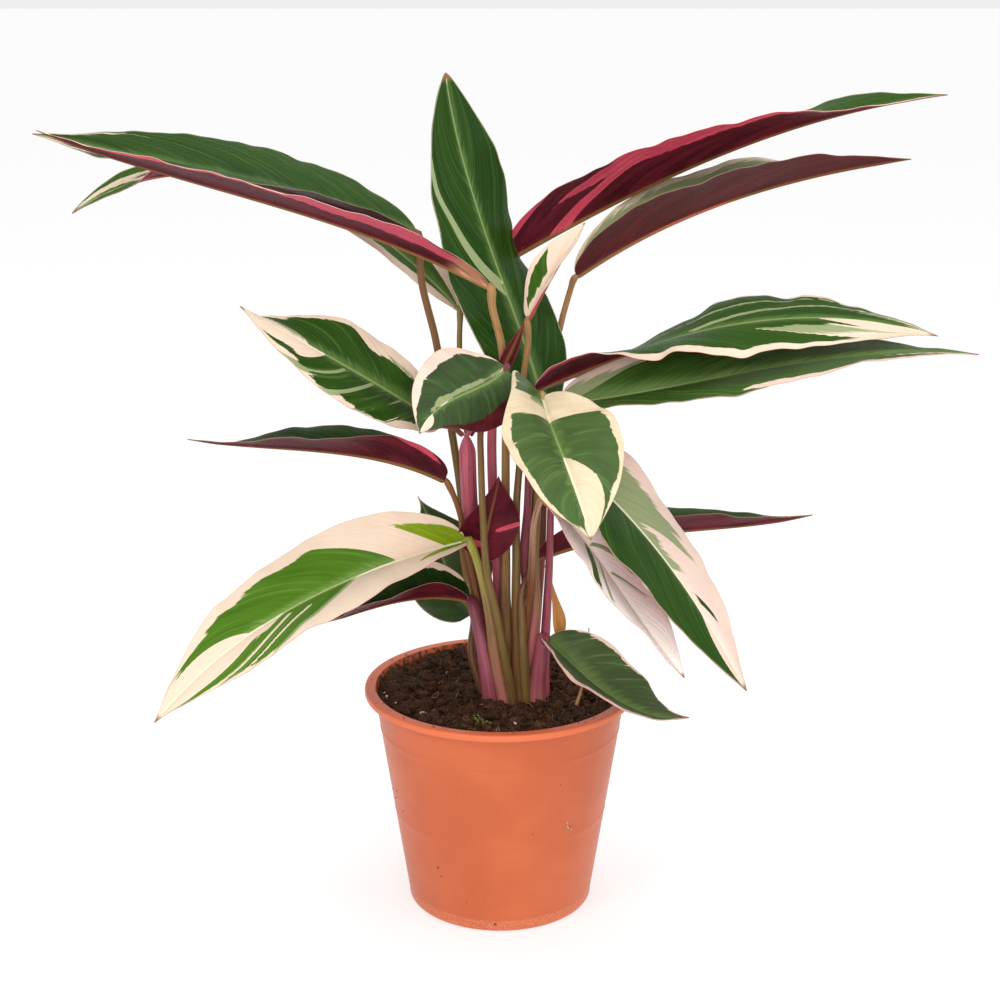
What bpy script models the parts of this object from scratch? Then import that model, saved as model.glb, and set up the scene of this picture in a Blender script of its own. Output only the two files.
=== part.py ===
"""Potted stromanthe: a clump of leaves on long stalks, rooted in a 15 cm nursery pot.

Metres, +Z up. The origin is the centre of the pot's underside and -Y is the front.
Tables of driving dimensions are in millimetres and degrees.
"""

import math

import bmesh
import bpy
import numpy as np

MM = 0.001
GAP = 0.3  # clearance left between pieces that touch

# ---------------------------------------------------------------- pot
POT_HEIGHT = 126.0
POT_BASE_RADIUS = 50.9
POT_BODY_TAPER = 0.152  # gain of radius per mm of height
POT_CORNER = 3.0  # rounding where the wall meets the underside
POT_WALL = 1.4
POT_FLOOR = 2.0
RIM_RADIUS = 75.0
RIM_SKIRT = 3.6  # height of the outer face of the turned-down rim
RIM_SHEET = 1.6
LEDGE_HEIGHT = 103.0  # stacking ledge on the inside and outside of the wall
POT_SEGMENTS = 48
DRAIN_COUNT = 8
DRAIN_RADIUS = 3.5
DRAIN_CIRCLE = 38.0

# ---------------------------------------------------------------- soil
SOIL_TOP = 118.6
SOIL_SWELL = 1.8  # height of the soft undulation of the surface
SOCKET_DEPTH = 7.0  # how far each stalk is rooted in the soil

# ---------------------------------------------------------------- clump
# The leaf and stalk tables are laid out on the pot's axis. The whole clump is then
# set in the pot: a little smaller, leaning forward, and moved to the front.
CLUMP_SCALE = 0.99
CLUMP_LEAN = 0.6  # degrees
CLUMP_SHIFT = (0, -12, 1)

# ---------------------------------------------------------------- leaves
LEAF_THICKNESS = 0.9
LEAF_END = 1.0  # least half width, at the base and the tip
LEAF_STEPS = 12
STATIONS = (0.10, 0.50, 0.90)  # where along the blade the three rises are given

# Each blade: where its base is, its length and half width, then angles in degrees at
# the base, the middle and the tip. Heading is the way it points in plan (0 is +X, 90
# is the back), pitch is how steeply it climbs, and left and right are how far each
# half rises from level. Left is the left hand when looking from base to tip.
LEAVES = {
    "leaf_left_top": dict(base=(-45, 31, 376), length=217, half=30, heading=(180, 170, 170), pitch=(22, 12, 10), left=(20, 10, -10), right=(30, 30, 35), colour="green"),
    "leaf_left_second": dict(base=(-6, -5, 354), length=252, half=28, heading=(177, 173, 164), pitch=(28.5, 15, 18.5), left=(35, 25, 25), right=(5, -10, -15), colour="crimson"),
    "leaf_left_rear": dict(base=(-23, 46, 333), length=248, half=25, heading=(157, 169, 175), pitch=(44, 15, -36), blunt=(0.65, 0.8), left=(0, 15, 65), right=(25, 20, 25), colour="green"),
    "leaf_upright": dict(base=(26, 34, 274), length=195, half=29, heading=(173, 148, 157), pitch=(77, 67, 83), widest=0.45, blunt=(0.6, 0.75), left=(-30, -25, -28), right=(50, -5, 45), colour="green"),
    "leaf_right_top": dict(base=(4, 81, 354), length=258, half=31, heading=(-23, -18, -24), pitch=(30.5, 24, 7.5), left=(22, 2, 45), right=(60, 33, 12), colour="crimson"),
    "leaf_right_second": dict(base=(42, 51, 350), length=190, half=28, heading=(-5, -5, -7), pitch=(36, 19.5, 8), left=(62, 38, 0), right=(50, 36, 45), colour="burgundy"),
    "leaf_small_cream": dict(base=(15, 16, 333), length=60, half=12, heading=(-10, -10, -8), pitch=(66, 60, 56), left=(55, 75, 70), right=(-5, -10, -30), colour="cream"),
    "leaf_right_third": dict(base=(19, 10, 296), length=217, half=30, heading=(-8, -18, -9), pitch=(26, 14, -17), left=(-20, 17, 14), right=(50, -24, -50), colour="mixed"),
    "leaf_right_fourth": dict(base=(32, 1, 290), length=218, half=29, heading=(-17, -16, -14), pitch=(10, 14, -3), blunt=(0.45, 1.1), left=(50, 25, 5), right=(0, -11, 0), colour="green"),
    "leaf_left_cream": dict(base=(-32, -4, 281), length=137, half=27, heading=(-153, -146, -137), pitch=(36, 33, 31), left=(-35, -45, -60), right=(60, 55, 15), colour="mixed"),
    "leaf_left_near": dict(base=(3, -12, 313), length=72, half=28, heading=(-117, -136, -118), pitch=(-25, -10, -46), left=(-50, -60, -40), right=(45, 40, 40), colour="mixed"),
    "leaf_front": dict(base=(22, -22, 300), length=103, half=33, heading=(-84, -74, -71), pitch=(-22, -27, -52), blunt=(0.35, 1.1), left=(32, 34, 10), right=(50, 20, 0), colour="mixed"),
    "leaf_front_long": dict(base=(12, -8, 275), length=182, half=30, heading=(-34, -32, -26), pitch=(-14, -43, -59), blunt=(0.65, 0.95), left=(40, 3, 12), right=(40, -5, -20), colour="pink"),
    "leaf_front_pale": dict(base=(23, -30, 246), length=118, half=24, heading=(-31, -39, -31), pitch=(-30, -45, -41), blunt=(0.65, 0.95), left=(40, -10, 25), right=(25, 20, 30), colour="pink"),
    "leaf_right_low": dict(base=(20, 14, 199), length=156, half=21, heading=(6, 4, 6), pitch=(22, 4, 11), left=(25, 20, 10), right=(70, 40, 35), colour="green"),
    "leaf_left_burgundy": dict(base=(-30, 8, 246), length=140, half=23, heading=(-174, -170, -171), pitch=(29, 8, 11), blunt=(0.5, 1.1), left=(60, 30, 20), right=(33, 21, -10), colour="burgundy"),
    "leaf_left_large": dict(base=(-18, -6, 216), length=195, half=33, heading=(-155, -152, -149), pitch=(-6, -19.5, -45), left=(10, 0, -25), right=(70, 27, 38), colour="lime"),
    "leaf_left_low": dict(base=(-17, 6, 178), length=84, half=23, heading=(169, 170, 169), pitch=(12, -16, -22), left=(45, 20, 15), right=(45, 55, 55), colour="green"),
    "leaf_rear_low": dict(base=(-15, 28, 163), length=76, half=27, heading=(145, 125, 144), pitch=(30, 55, 51), blunt=(0.5, 1.8), left=(-35, 5, 0), right=(30, 30, 30), colour="green"),
    "leaf_over_rim": dict(base=(25, 2, 156), length=98, half=25, heading=(-50, -38, -11), pitch=(-16, -20, 13), left=(45, 20, 15), right=(35, 25, 15), colour="green"),
    "leaf_young_burgundy": dict(base=(-8, 8, 201), length=53, half=17, heading=(-100, -55, -30), pitch=(75, 72, 78), widest=0.45, left=(-25, -25, -10), right=(0, 0, 0), colour="crimson"),
    "leaf_rolled_young": dict(base=(-10, -5, 290), length=50, half=4, heading=(10, 10, 12), pitch=(60, 62, 68), widest=0.55, left=(-50, -50, -50), right=(50, 50, 50), colour="crimson"),
    "dry_leaf": dict(base=(26, 13, 196), length=45, half=4.5, heading=(-20, -20, -34), pitch=(-78, -78, -86), widest=0.75, left=(20, 20, 20), right=(-20, -20, -20), colour="dry", steps=7),
}

# ---------------------------------------------------------------- stalks
STALK_RINGS = 9
# Each stalk of the clump: its radius in the soil and at the top, where it is rooted,
# and the places it passes on its way up to the base of its blade.
STALKS = {
    "stalk_left_low": dict(r=(3.4, 2.2), root=(-5, 2), way=[(-9, 1, 150), (-13, 2, 168)]),
    "stalk_rear_low": dict(r=(1.8, 1.5), root=(-10, 15), way=[(-16, 20, 142)]),
    "stalk_left_top": dict(r=(2.3, 1.9), root=(-4, 9.5), way=[(-10, 12, 150), (-15, 13, 175), (-20, 19, 200), (-21, 20, 230), (-25, 24, 260), (-30, 27, 290), (-35, 29, 320), (-42, 30, 350)]),
    "stalk_left_burgundy": dict(r=(1.9, 1.4), root=(1, 6.5), way=[(-6, 7, 150), (-12, 9.5, 175), (-17, 9, 200), (-22, 8.5, 228)]),
    "stalk_young_burgundy": dict(r=(1.4, 1.2), root=(5, 4.5), way=[(-2, 5, 150), (-7, 6, 175)]),
    "stalk_left_large": dict(r=(2.3, 1.9), root=(2, -0.5), way=[(-3, -3, 150), (-6, -4, 175), (-11, -6, 200)], top=(-16, -5, 214.3)),
    "stalk_front_long": dict(r=(1.9, 1.6), root=(7, 0), way=[(2, -3, 150), (-2, -7, 175), (-7, -11, 200), (-9, -14, 230), (-10, -16, 262), (-10, -16, 281), (-6, -15, 290), (3, -12, 285)]),
    "stem_left": dict(r=(3.0, 4.6), root=(2, 14), way=[(-6, 17.5, 150), (-9, 18, 175), (-13, 15.5, 200), (-16.5, 12.5, 230)], top=(-18, 9, 270)),
    "stalk_left_second": dict(r=(2.4, 2.0), root=(8, 9.5), way=[(5, 9.5, 150), (3, 9.5, 175), (3, 11, 200), (3, 11, 230), (3, 9, 260), (3, 5, 290), (1, 1, 320), (-4, -4, 343)]),
    "stalk_right_top": dict(r=(2.7, 2.3), root=(4, 20), way=[(2, 19, 150), (0, 18.5, 175), (-3.5, 18.5, 230), (-4.5, 20, 260), (-4, 28, 290), (-5, 50, 320), (-3, 71, 343)], top=(1.5, 80.5, 351.5)),
    "stalk_small_cream": dict(r=(2.2, 1.6), root=(10, 4), way=[(9, 5.5, 175), (9, 7, 200), (9, 11, 230), (11, 13, 260), (12, 15, 295), (15, 16, 320)]),
    "stalk_upright": dict(r=(2.6, 2.0), root=(11, 18), way=[(13, 18.5, 150), (16, 21, 200), (19, 26, 230), (24, 32, 260)]),
    "stalk_front_pale": dict(r=(1.8, 1.5), root=(13, 12.5), way=[(14, 8, 150), (16, 4, 175), (17, -6, 200), (18, -18, 230)]),
    "stalk_right_low": dict(r=(2.1, 1.5), root=(14.5, 2), way=[(12, 1, 165), (12, 3.5, 183), (17, 9.5, 194)]),
    "stalk_front": dict(r=(2.2, 1.7), root=(16, 8), way=[(17.5, 5.5, 150), (20, 3.5, 175), (19, 3, 200), (20, 2, 230), (21, 3, 260), (22, 1, 278), (22, -9, 292)]),
    "stalk_right_second": dict(r=(2.2, 1.6), root=(17, 18.5), way=[(19, 19.5, 150), (21, 21, 175), (23, 25, 200), (24, 31, 230), (25, 40, 260), (29, 55, 298), (34, 62, 322), (39, 58, 342)]),
    "stalk_right_third": dict(r=(2.2, 1.8), root=(22, 14), way=[(18, 13, 150), (13.5, 14, 200), (15, 11.5, 230), (16, 10, 265)]),
    "stalk_over_rim": dict(r=(3.4, 2.2), root=(21, 2.5), way=[(21.5, 2, 137)], top=(22.5, 3.5, 153)),
    "stalk_right_fourth": dict(r=(1.9, 1.6), root=(25, 8.5), way=[(25, 9, 150), (27, 6, 200), (28, 3, 260)]),
    "old_stalk": dict(r=(1.3, 0.6), root=(42, -8), way=[(45, -4, 130), (48, 0, 145)], top=(49, 3, 163)),
}
# Thin stalks that leave the top of the left stem.
BRANCHES = {
    "stalk_left_rear": dict(r=(1.5, 1.5), way=[(-18, 11.5, 272), (-19.5, 22, 287), (-22, 34, 312)]),
    "stalk_left_cream": dict(r=(1.4, 1.4), way=[(-20.5, 9, 271.5), (-25, 3, 277)]),
    "stalk_left_near": dict(r=(1.4, 1.4), way=[(-18, 6.2, 271.5), (-13, -5, 283), (-6, -11, 297), (2, -9, 308)], top=(5, -9, 312.5)),
    "stalk_rolled_young": dict(r=(1.3, 1.3), way=[(-15.5, 9, 271.5), (-11, 3, 281)]),
}
STALK_END = 1.8  # from the end of a stalk to the base of its blade

COLOURS = {
    "green": (0.05, 0.16, 0.02), "crimson": (0.26, 0.02, 0.05), "burgundy": (0.10, 0.01, 0.02),
    "mixed": (0.30, 0.40, 0.20), "cream": (0.80, 0.66, 0.52), "pink": (0.82, 0.66, 0.58),
    "lime": (0.30, 0.40, 0.08), "stalk": (0.24, 0.13, 0.04), "sheath": (0.36, 0.10, 0.11),
    "dry": (0.45, 0.22, 0.06), "soil": (0.03, 0.016, 0.009), "terracotta": (0.56, 0.14, 0.055),
}


def spline(points, count):
    """`count` points at even spacing along the Catmull-Rom curve through `points`."""
    p = np.asarray(points, float)
    e = np.vstack([2 * p[0] - p[1], p, 2 * p[-1] - p[-2]])
    spans = len(p) - 1

    def at(t):
        t = np.clip(t, 0, spans - 1e-9)
        i = t.astype(int)
        x = (t - i)[:, None]
        a, b, c, d = e[i], e[i + 1], e[i + 2], e[i + 3]
        return b + 0.5 * x * (c - a + x * (2 * a - 5 * b + 4 * c - d + x * (3 * (b - c) + d - a)))

    t = np.linspace(0, spans, 400)
    run = np.r_[0, np.cumsum(np.linalg.norm(np.diff(at(t), axis=0), axis=1))]
    return at(np.interp(np.linspace(0, run[-1], count), run, t))


def leaf_width(u, widest=0.42, base=0.65, tip=1.1):
    """Share of the half width at `u`, from 0 at the base to 1 at the tip."""
    k = math.log(0.5) / math.log(widest)
    return np.sin(np.pi * np.clip(u, 0, 1) ** k) ** (base + (tip - base) * u)


def between(values, u):
    """The smooth curve through the values at the base, the middle and the tip."""
    a, b, c = values
    return a * (1 - u) * (1 - 2 * u) + b * 4 * u * (1 - u) + c * u * (2 * u - 1)


def direction(heading, pitch):
    h, p = np.radians(heading), np.radians(pitch)
    return np.stack([np.cos(p) * np.cos(h), np.cos(p) * np.sin(h), np.sin(p)], -1)


def midrib(base, length, heading, pitch, count):
    """`count` points along the midrib, laid out step by step from the base."""
    fine = 20
    u = (np.arange(fine * (count - 1)) + 0.5) / (fine * (count - 1))
    steps = direction(between(heading, u), between(pitch, u)) * length / len(u)
    return np.vstack([base, base + np.cumsum(steps, axis=0)])[::fine]


def rise(angles, u):
    """The rise in degrees at `u`, eased from station to station."""
    x = np.interp(u, STATIONS, np.arange(3))
    i = np.minimum(x.astype(int), 1)
    t = (x - i) ** 2 * (3 - 2 * (x - i))
    a = np.asarray(angles, float)
    return a[i] * (1 - t) + a[i + 1] * t


def in_pot(points):
    """Points of the clump's layout, moved to where they stand in the pot."""
    a = math.radians(CLUMP_LEAN)
    lean = np.array([[1, 0, 0], [0, math.cos(a), -math.sin(a)], [0, math.sin(a), math.cos(a)]])
    return CLUMP_SCALE * (np.asarray(points, float) @ lean.T) + CLUMP_SHIFT


def root_in_pot(root):
    """(x, y) in the pot of a stalk rooted at (x, y) of the layout."""
    return tuple(in_pot((*root, SOIL_TOP))[:2])


def collection(name, helper=False):
    made = bpy.data.collections.new(name)
    bpy.context.scene.collection.children.link(made)
    made.hide_render = helper
    return made


def material(name, colour, roughness, metallic=0.0):
    made = bpy.data.materials.new(name)
    made.use_nodes = True
    shader = made.node_tree.nodes["Principled BSDF"]
    shader.inputs["Base Color"].default_value = (*colour, 1)
    shader.inputs["Roughness"].default_value = roughness
    shader.inputs["Metallic"].default_value = metallic
    made.diffuse_color = (*colour, 1)
    return made


def mesh_object(name, points, faces, home, colour=None, roughness=0.5, smooth=True):
    mesh = bpy.data.meshes.new(name)
    mesh.from_pydata([tuple(float(c) * MM for c in p) for p in points], [], faces)
    work = bmesh.new()
    work.from_mesh(mesh)
    bmesh.ops.recalc_face_normals(work, faces=work.faces)
    work.to_mesh(mesh)
    work.free()
    for face in mesh.polygons:
        face.use_smooth = smooth
    made = bpy.data.objects.new(name, mesh)
    home.objects.link(made)
    if colour:
        mesh.materials.append(material(name, COLOURS[colour], roughness))
    return made


def cut(target, cutter):
    cutter.display_type = "WIRE"
    cutter.hide_render = True
    made = target.modifiers.new("Cut " + cutter.name, "BOOLEAN")
    made.operation = "DIFFERENCE"
    made.solver = "EXACT"
    made.object = cutter
    made.use_self = True


def prisms(name, centres, home, sides=10):
    """Upright prisms (x, y, low, high, radius), all in one mesh."""
    points, faces = [], []
    for x, y, low, high, radius in centres:
        start = len(points)
        for z in (low, high):
            for i in range(sides):
                a = 2 * math.pi * i / sides
                points.append((x + radius * math.cos(a), y + radius * math.sin(a), z))
        faces.append([start + i for i in reversed(range(sides))])
        faces.append([start + sides + i for i in range(sides)])
        for i in range(sides):
            j = (i + 1) % sides
            faces.append([start + i, start + j, start + sides + j, start + sides + i])
    return mesh_object(name, points, faces, home, smooth=False)


def blade(name, home, base, length, heading, pitch, half, left, right, widest=0.42, blunt=(0.65, 1.1), colour="green", steps=LEAF_STEPS):
    """A leaf blade: two half blades swept along the midrib, then thickened."""
    line = midrib(base, length, heading, pitch, steps)
    u = np.linspace(0, 1, steps)
    along = np.gradient(line, axis=0)
    along /= np.linalg.norm(along, axis=1)[:, None]
    over = np.array([0, 0, 1.0]) - along[:, 2:3] * along
    over /= np.linalg.norm(over, axis=1)[:, None]
    side = np.cross(over, along)
    width = np.maximum(half * leaf_width(u, widest, *blunt), LEAF_END)[:, None]
    a, b = np.radians(rise(left, u))[:, None], np.radians(rise(right, u))[:, None]
    to_left = width * (np.cos(a) * side + np.sin(a) * over)
    to_right = width * (-np.cos(b) * side + np.sin(b) * over)
    columns = [line + to_left, line + 0.5 * to_left, line, line + 0.5 * to_right, line + to_right]
    points = in_pot([column[i] for i in range(steps) for column in columns])
    n = len(columns)
    faces = [[i * n + j, i * n + j + 1, (i + 1) * n + j + 1, (i + 1) * n + j] for i in range(steps - 1) for j in range(n - 1)]
    made = mesh_object(name, points, faces, home, colour, 0.42)
    thick = made.modifiers.new("Thickness", "SOLIDIFY")
    thick.thickness = LEAF_THICKNESS * MM
    thick.offset = 0
    return made


def stalk(name, home, points, r, colour="stalk", rings=STALK_RINGS, foot=None):
    """A stalk: a round bar swept along its points, tapering from r[0] to r[1].

    foot holds the points of the straight part that stands in the socket."""
    line = spline(in_pot(points), rings)
    if foot:
        line = np.vstack([foot, line])
        rings += len(foot)
    curve = bpy.data.curves.new(name, "CURVE")
    curve.dimensions = "3D"
    curve.bevel_depth = MM
    curve.bevel_resolution = 2
    curve.use_fill_caps = True
    bar = curve.splines.new("POLY")
    bar.points.add(rings - 1)
    for point, co, radius in zip(bar.points, line, np.linspace(r[0], r[1], rings)):
        point.co = (*(float(c) * MM for c in co), 1)
        point.radius = float(radius)
    bar.use_smooth = True
    curve.materials.append(material(name, COLOURS[colour], 0.45))
    made = bpy.data.objects.new(name, curve)
    home.objects.link(made)
    return made


def body_radius(z):
    return POT_BASE_RADIUS + POT_BODY_TAPER * z


def build_pot(home, helpers):
    """A turned shell: base corner, tapering wall, stacking ledge and a turned-down rim."""
    neck = body_radius(POT_HEIGHT)
    corner = [(body_radius(POT_CORNER) - POT_CORNER + POT_CORNER * math.cos(a), POT_CORNER - POT_CORNER * math.sin(a)) for a in np.radians((0, 30, 60, 90))]
    bead = RIM_SHEET
    outer = [
        (neck - 0.5, POT_HEIGHT),
        (RIM_RADIUS - bead, POT_HEIGHT),
        (RIM_RADIUS - 0.3 * bead, POT_HEIGHT - 0.3 * bead),
        (RIM_RADIUS, POT_HEIGHT - bead),
        (RIM_RADIUS, POT_HEIGHT - RIM_SKIRT),
        (RIM_RADIUS - RIM_SHEET, POT_HEIGHT - RIM_SKIRT),
        (RIM_RADIUS - RIM_SHEET, POT_HEIGHT - RIM_SHEET - 0.6),
        (RIM_RADIUS - RIM_SHEET - 0.6, POT_HEIGHT - RIM_SHEET),
        (neck + 0.4, POT_HEIGHT - RIM_SHEET),
        (body_radius(LEDGE_HEIGHT) + 0.5, LEDGE_HEIGHT),
        (body_radius(LEDGE_HEIGHT) - 0.1, LEDGE_HEIGHT - 1.2),
    ] + corner
    inner = [
        (0.0, 0.0),
        (0.0, POT_FLOOR),
        (body_radius(POT_FLOOR) - POT_WALL - 2.5, POT_FLOOR),
        (body_radius(POT_FLOOR + 3) - POT_WALL, POT_FLOOR + 3),
        (body_radius(LEDGE_HEIGHT) - POT_WALL - 0.1, LEDGE_HEIGHT - 1.2),
        (body_radius(LEDGE_HEIGHT) - POT_WALL + 0.5, LEDGE_HEIGHT),
        (neck - POT_WALL + 0.2, POT_HEIGHT - 0.8),
    ]
    # The profile starts and ends on the axis, so it is an open line round the section.
    line = inner[1:] + outer + [inner[0]]
    mesh = bpy.data.meshes.new("pot")
    mesh.from_pydata([(r * MM, 0, z * MM) for r, z in line], [(i, i + 1) for i in range(len(line) - 1)], [])
    pot = bpy.data.objects.new("pot", mesh)
    home.objects.link(pot)
    turn = pot.modifiers.new("Turn", "SCREW")
    turn.steps = turn.render_steps = POT_SEGMENTS
    turn.use_merge_vertices = True
    turn.merge_threshold = 0.00001
    turn.use_smooth_shade = True
    mesh.materials.append(material("pot", COLOURS["terracotta"], 0.42))
    drains = []
    for i in range(DRAIN_COUNT):
        a = 2 * math.pi * (i + 0.5) / DRAIN_COUNT
        drains.append((DRAIN_CIRCLE * math.cos(a), DRAIN_CIRCLE * math.sin(a), -2, POT_FLOOR + 2, DRAIN_RADIUS))
    cut(pot, prisms("drain_cutters", drains, helpers))
    return pot


def build_soil(home, helpers):
    """The root ball: it fills the pot and has a soft uneven top."""
    rings, spokes = 5, 40
    low = POT_FLOOR + GAP
    wall = lambda z: body_radius(z) - POT_WALL - GAP - 0.5
    points, faces = [(0, 0, SOIL_TOP)], []
    for k in range(1, rings + 1):
        for i in range(spokes):
            a = 2 * math.pi * i / spokes
            r = wall(SOIL_TOP) * k / rings
            x, y = r * math.cos(a), r * math.sin(a)
            swell = math.sin(x / 11 + 1.0) * math.cos(y / 13) + 0.6 * math.sin(x / 6 - y / 8)
            points.append((x, y, SOIL_TOP + SOIL_SWELL * 0.5 * swell * (k < rings) + 1.0 * (k / rings) ** 3))
    for r, z in ((wall(60), 60), (wall(low + 4), low + 4), (wall(low) - 4, low)):
        points += [(r * math.cos(2 * math.pi * i / spokes), r * math.sin(2 * math.pi * i / spokes), z) for i in range(spokes)]
    for i in range(spokes):
        j = (i + 1) % spokes
        faces.append([0, 1 + i, 1 + j])
        for k in range(rings + 2):
            a, b = 1 + k * spokes, 1 + (k + 1) * spokes
            faces.append([a + i, b + i, b + j, a + j])
    last = 1 + (rings + 2) * spokes
    faces.append([last + i for i in range(spokes)])
    soil = mesh_object("soil", points, faces, home, "soil", 0.95)
    sockets = [(*root_in_pot(s["root"]), SOIL_TOP - SOCKET_DEPTH, SOIL_TOP + 12, (s["r"][0] + GAP) / math.cos(math.pi / 10)) for s in STALKS.values()]
    cut(soil, prisms("socket_cutters", sockets, helpers))
    return soil


def stalk_top(name, s):
    """The top of a stalk: its own, or just short of the base of the blade it is named for."""
    if "top" in s:
        return s["top"]
    leaf = LEAVES[name.replace("stalk_", "leaf_")]
    return tuple(np.array(leaf["base"]) - STALK_END * direction(leaf["heading"][0], leaf["pitch"][0]))


def main():
    for old in list(bpy.data.objects):
        bpy.data.objects.remove(old, do_unlink=True)
    home = collection("potted_stromanthe")
    helpers = collection("cutters", helper=True)
    build_pot(home, helpers)
    build_soil(home, helpers)
    for name, shape in LEAVES.items():
        blade(name, home, **shape)
    for name, s in STALKS.items():
        foot = [(*root_in_pot(s["root"]), SOIL_TOP - SOCKET_DEPTH + GAP)]
        route = [(*s["root"], SOIL_TOP + 2.4)] + s["way"] + [stalk_top(name, s)]
        colour = {"stem_left": "sheath", "old_stalk": "dry"}.get(name, "stalk")
        stalk(name, home, route, s["r"], colour, STALK_RINGS + 2 * (len(s["way"]) > 6), foot)
    for name, s in BRANCHES.items():
        stalk(name, home, s["way"] + [stalk_top(name, s)], s["r"], rings=6)


main()
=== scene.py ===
"""Visual model of the potted stromanthe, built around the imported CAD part.

Millimetres and degrees in the tables, metres in the scene. The tables and the curve
functions are those of the part's source, sampled more finely here.
"""

import math

import bmesh
import bpy
import numpy as np
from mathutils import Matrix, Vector, noise

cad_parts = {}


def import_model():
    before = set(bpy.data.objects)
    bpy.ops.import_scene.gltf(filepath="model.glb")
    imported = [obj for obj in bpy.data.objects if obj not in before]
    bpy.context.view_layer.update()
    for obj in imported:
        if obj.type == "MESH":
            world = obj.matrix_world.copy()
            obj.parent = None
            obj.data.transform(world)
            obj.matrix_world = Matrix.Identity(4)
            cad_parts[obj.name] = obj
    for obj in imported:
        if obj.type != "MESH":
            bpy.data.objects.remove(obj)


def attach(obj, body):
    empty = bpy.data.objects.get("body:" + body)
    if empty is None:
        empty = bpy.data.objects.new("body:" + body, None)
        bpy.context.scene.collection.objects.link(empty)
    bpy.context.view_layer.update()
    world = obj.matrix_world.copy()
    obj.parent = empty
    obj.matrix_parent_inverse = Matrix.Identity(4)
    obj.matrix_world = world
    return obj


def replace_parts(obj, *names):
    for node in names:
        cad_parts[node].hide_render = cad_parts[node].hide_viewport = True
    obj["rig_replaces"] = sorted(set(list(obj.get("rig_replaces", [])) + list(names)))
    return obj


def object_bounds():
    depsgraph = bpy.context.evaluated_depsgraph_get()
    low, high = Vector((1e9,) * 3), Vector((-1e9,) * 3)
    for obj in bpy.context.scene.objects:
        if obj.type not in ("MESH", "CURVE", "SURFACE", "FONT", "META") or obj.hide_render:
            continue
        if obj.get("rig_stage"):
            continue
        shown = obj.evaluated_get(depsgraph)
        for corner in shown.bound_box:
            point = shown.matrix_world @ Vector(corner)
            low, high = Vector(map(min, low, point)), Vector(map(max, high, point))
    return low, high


MM = 0.001
POT_HEIGHT, POT_BASE_RADIUS, POT_BODY_TAPER, POT_CORNER = 126.0, 50.9, 0.152, 3.0
POT_WALL, POT_FLOOR = 1.4, 2.0
RIM_RADIUS, RIM_SKIRT, RIM_SHEET = 75.0, 3.6, 1.6
LEDGE_HEIGHT = 103.0
SOIL_TOP, SOIL_SWELL, SOCKET_DEPTH = 118.6, 1.8, 7.0
CLUMP_SCALE, CLUMP_LEAN, CLUMP_SHIFT = 0.99, 0.6, (0, -12, 1)
LEAF_END = 1.0
STATIONS = (0.10, 0.50, 0.90)
STALK_END = 1.8

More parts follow.
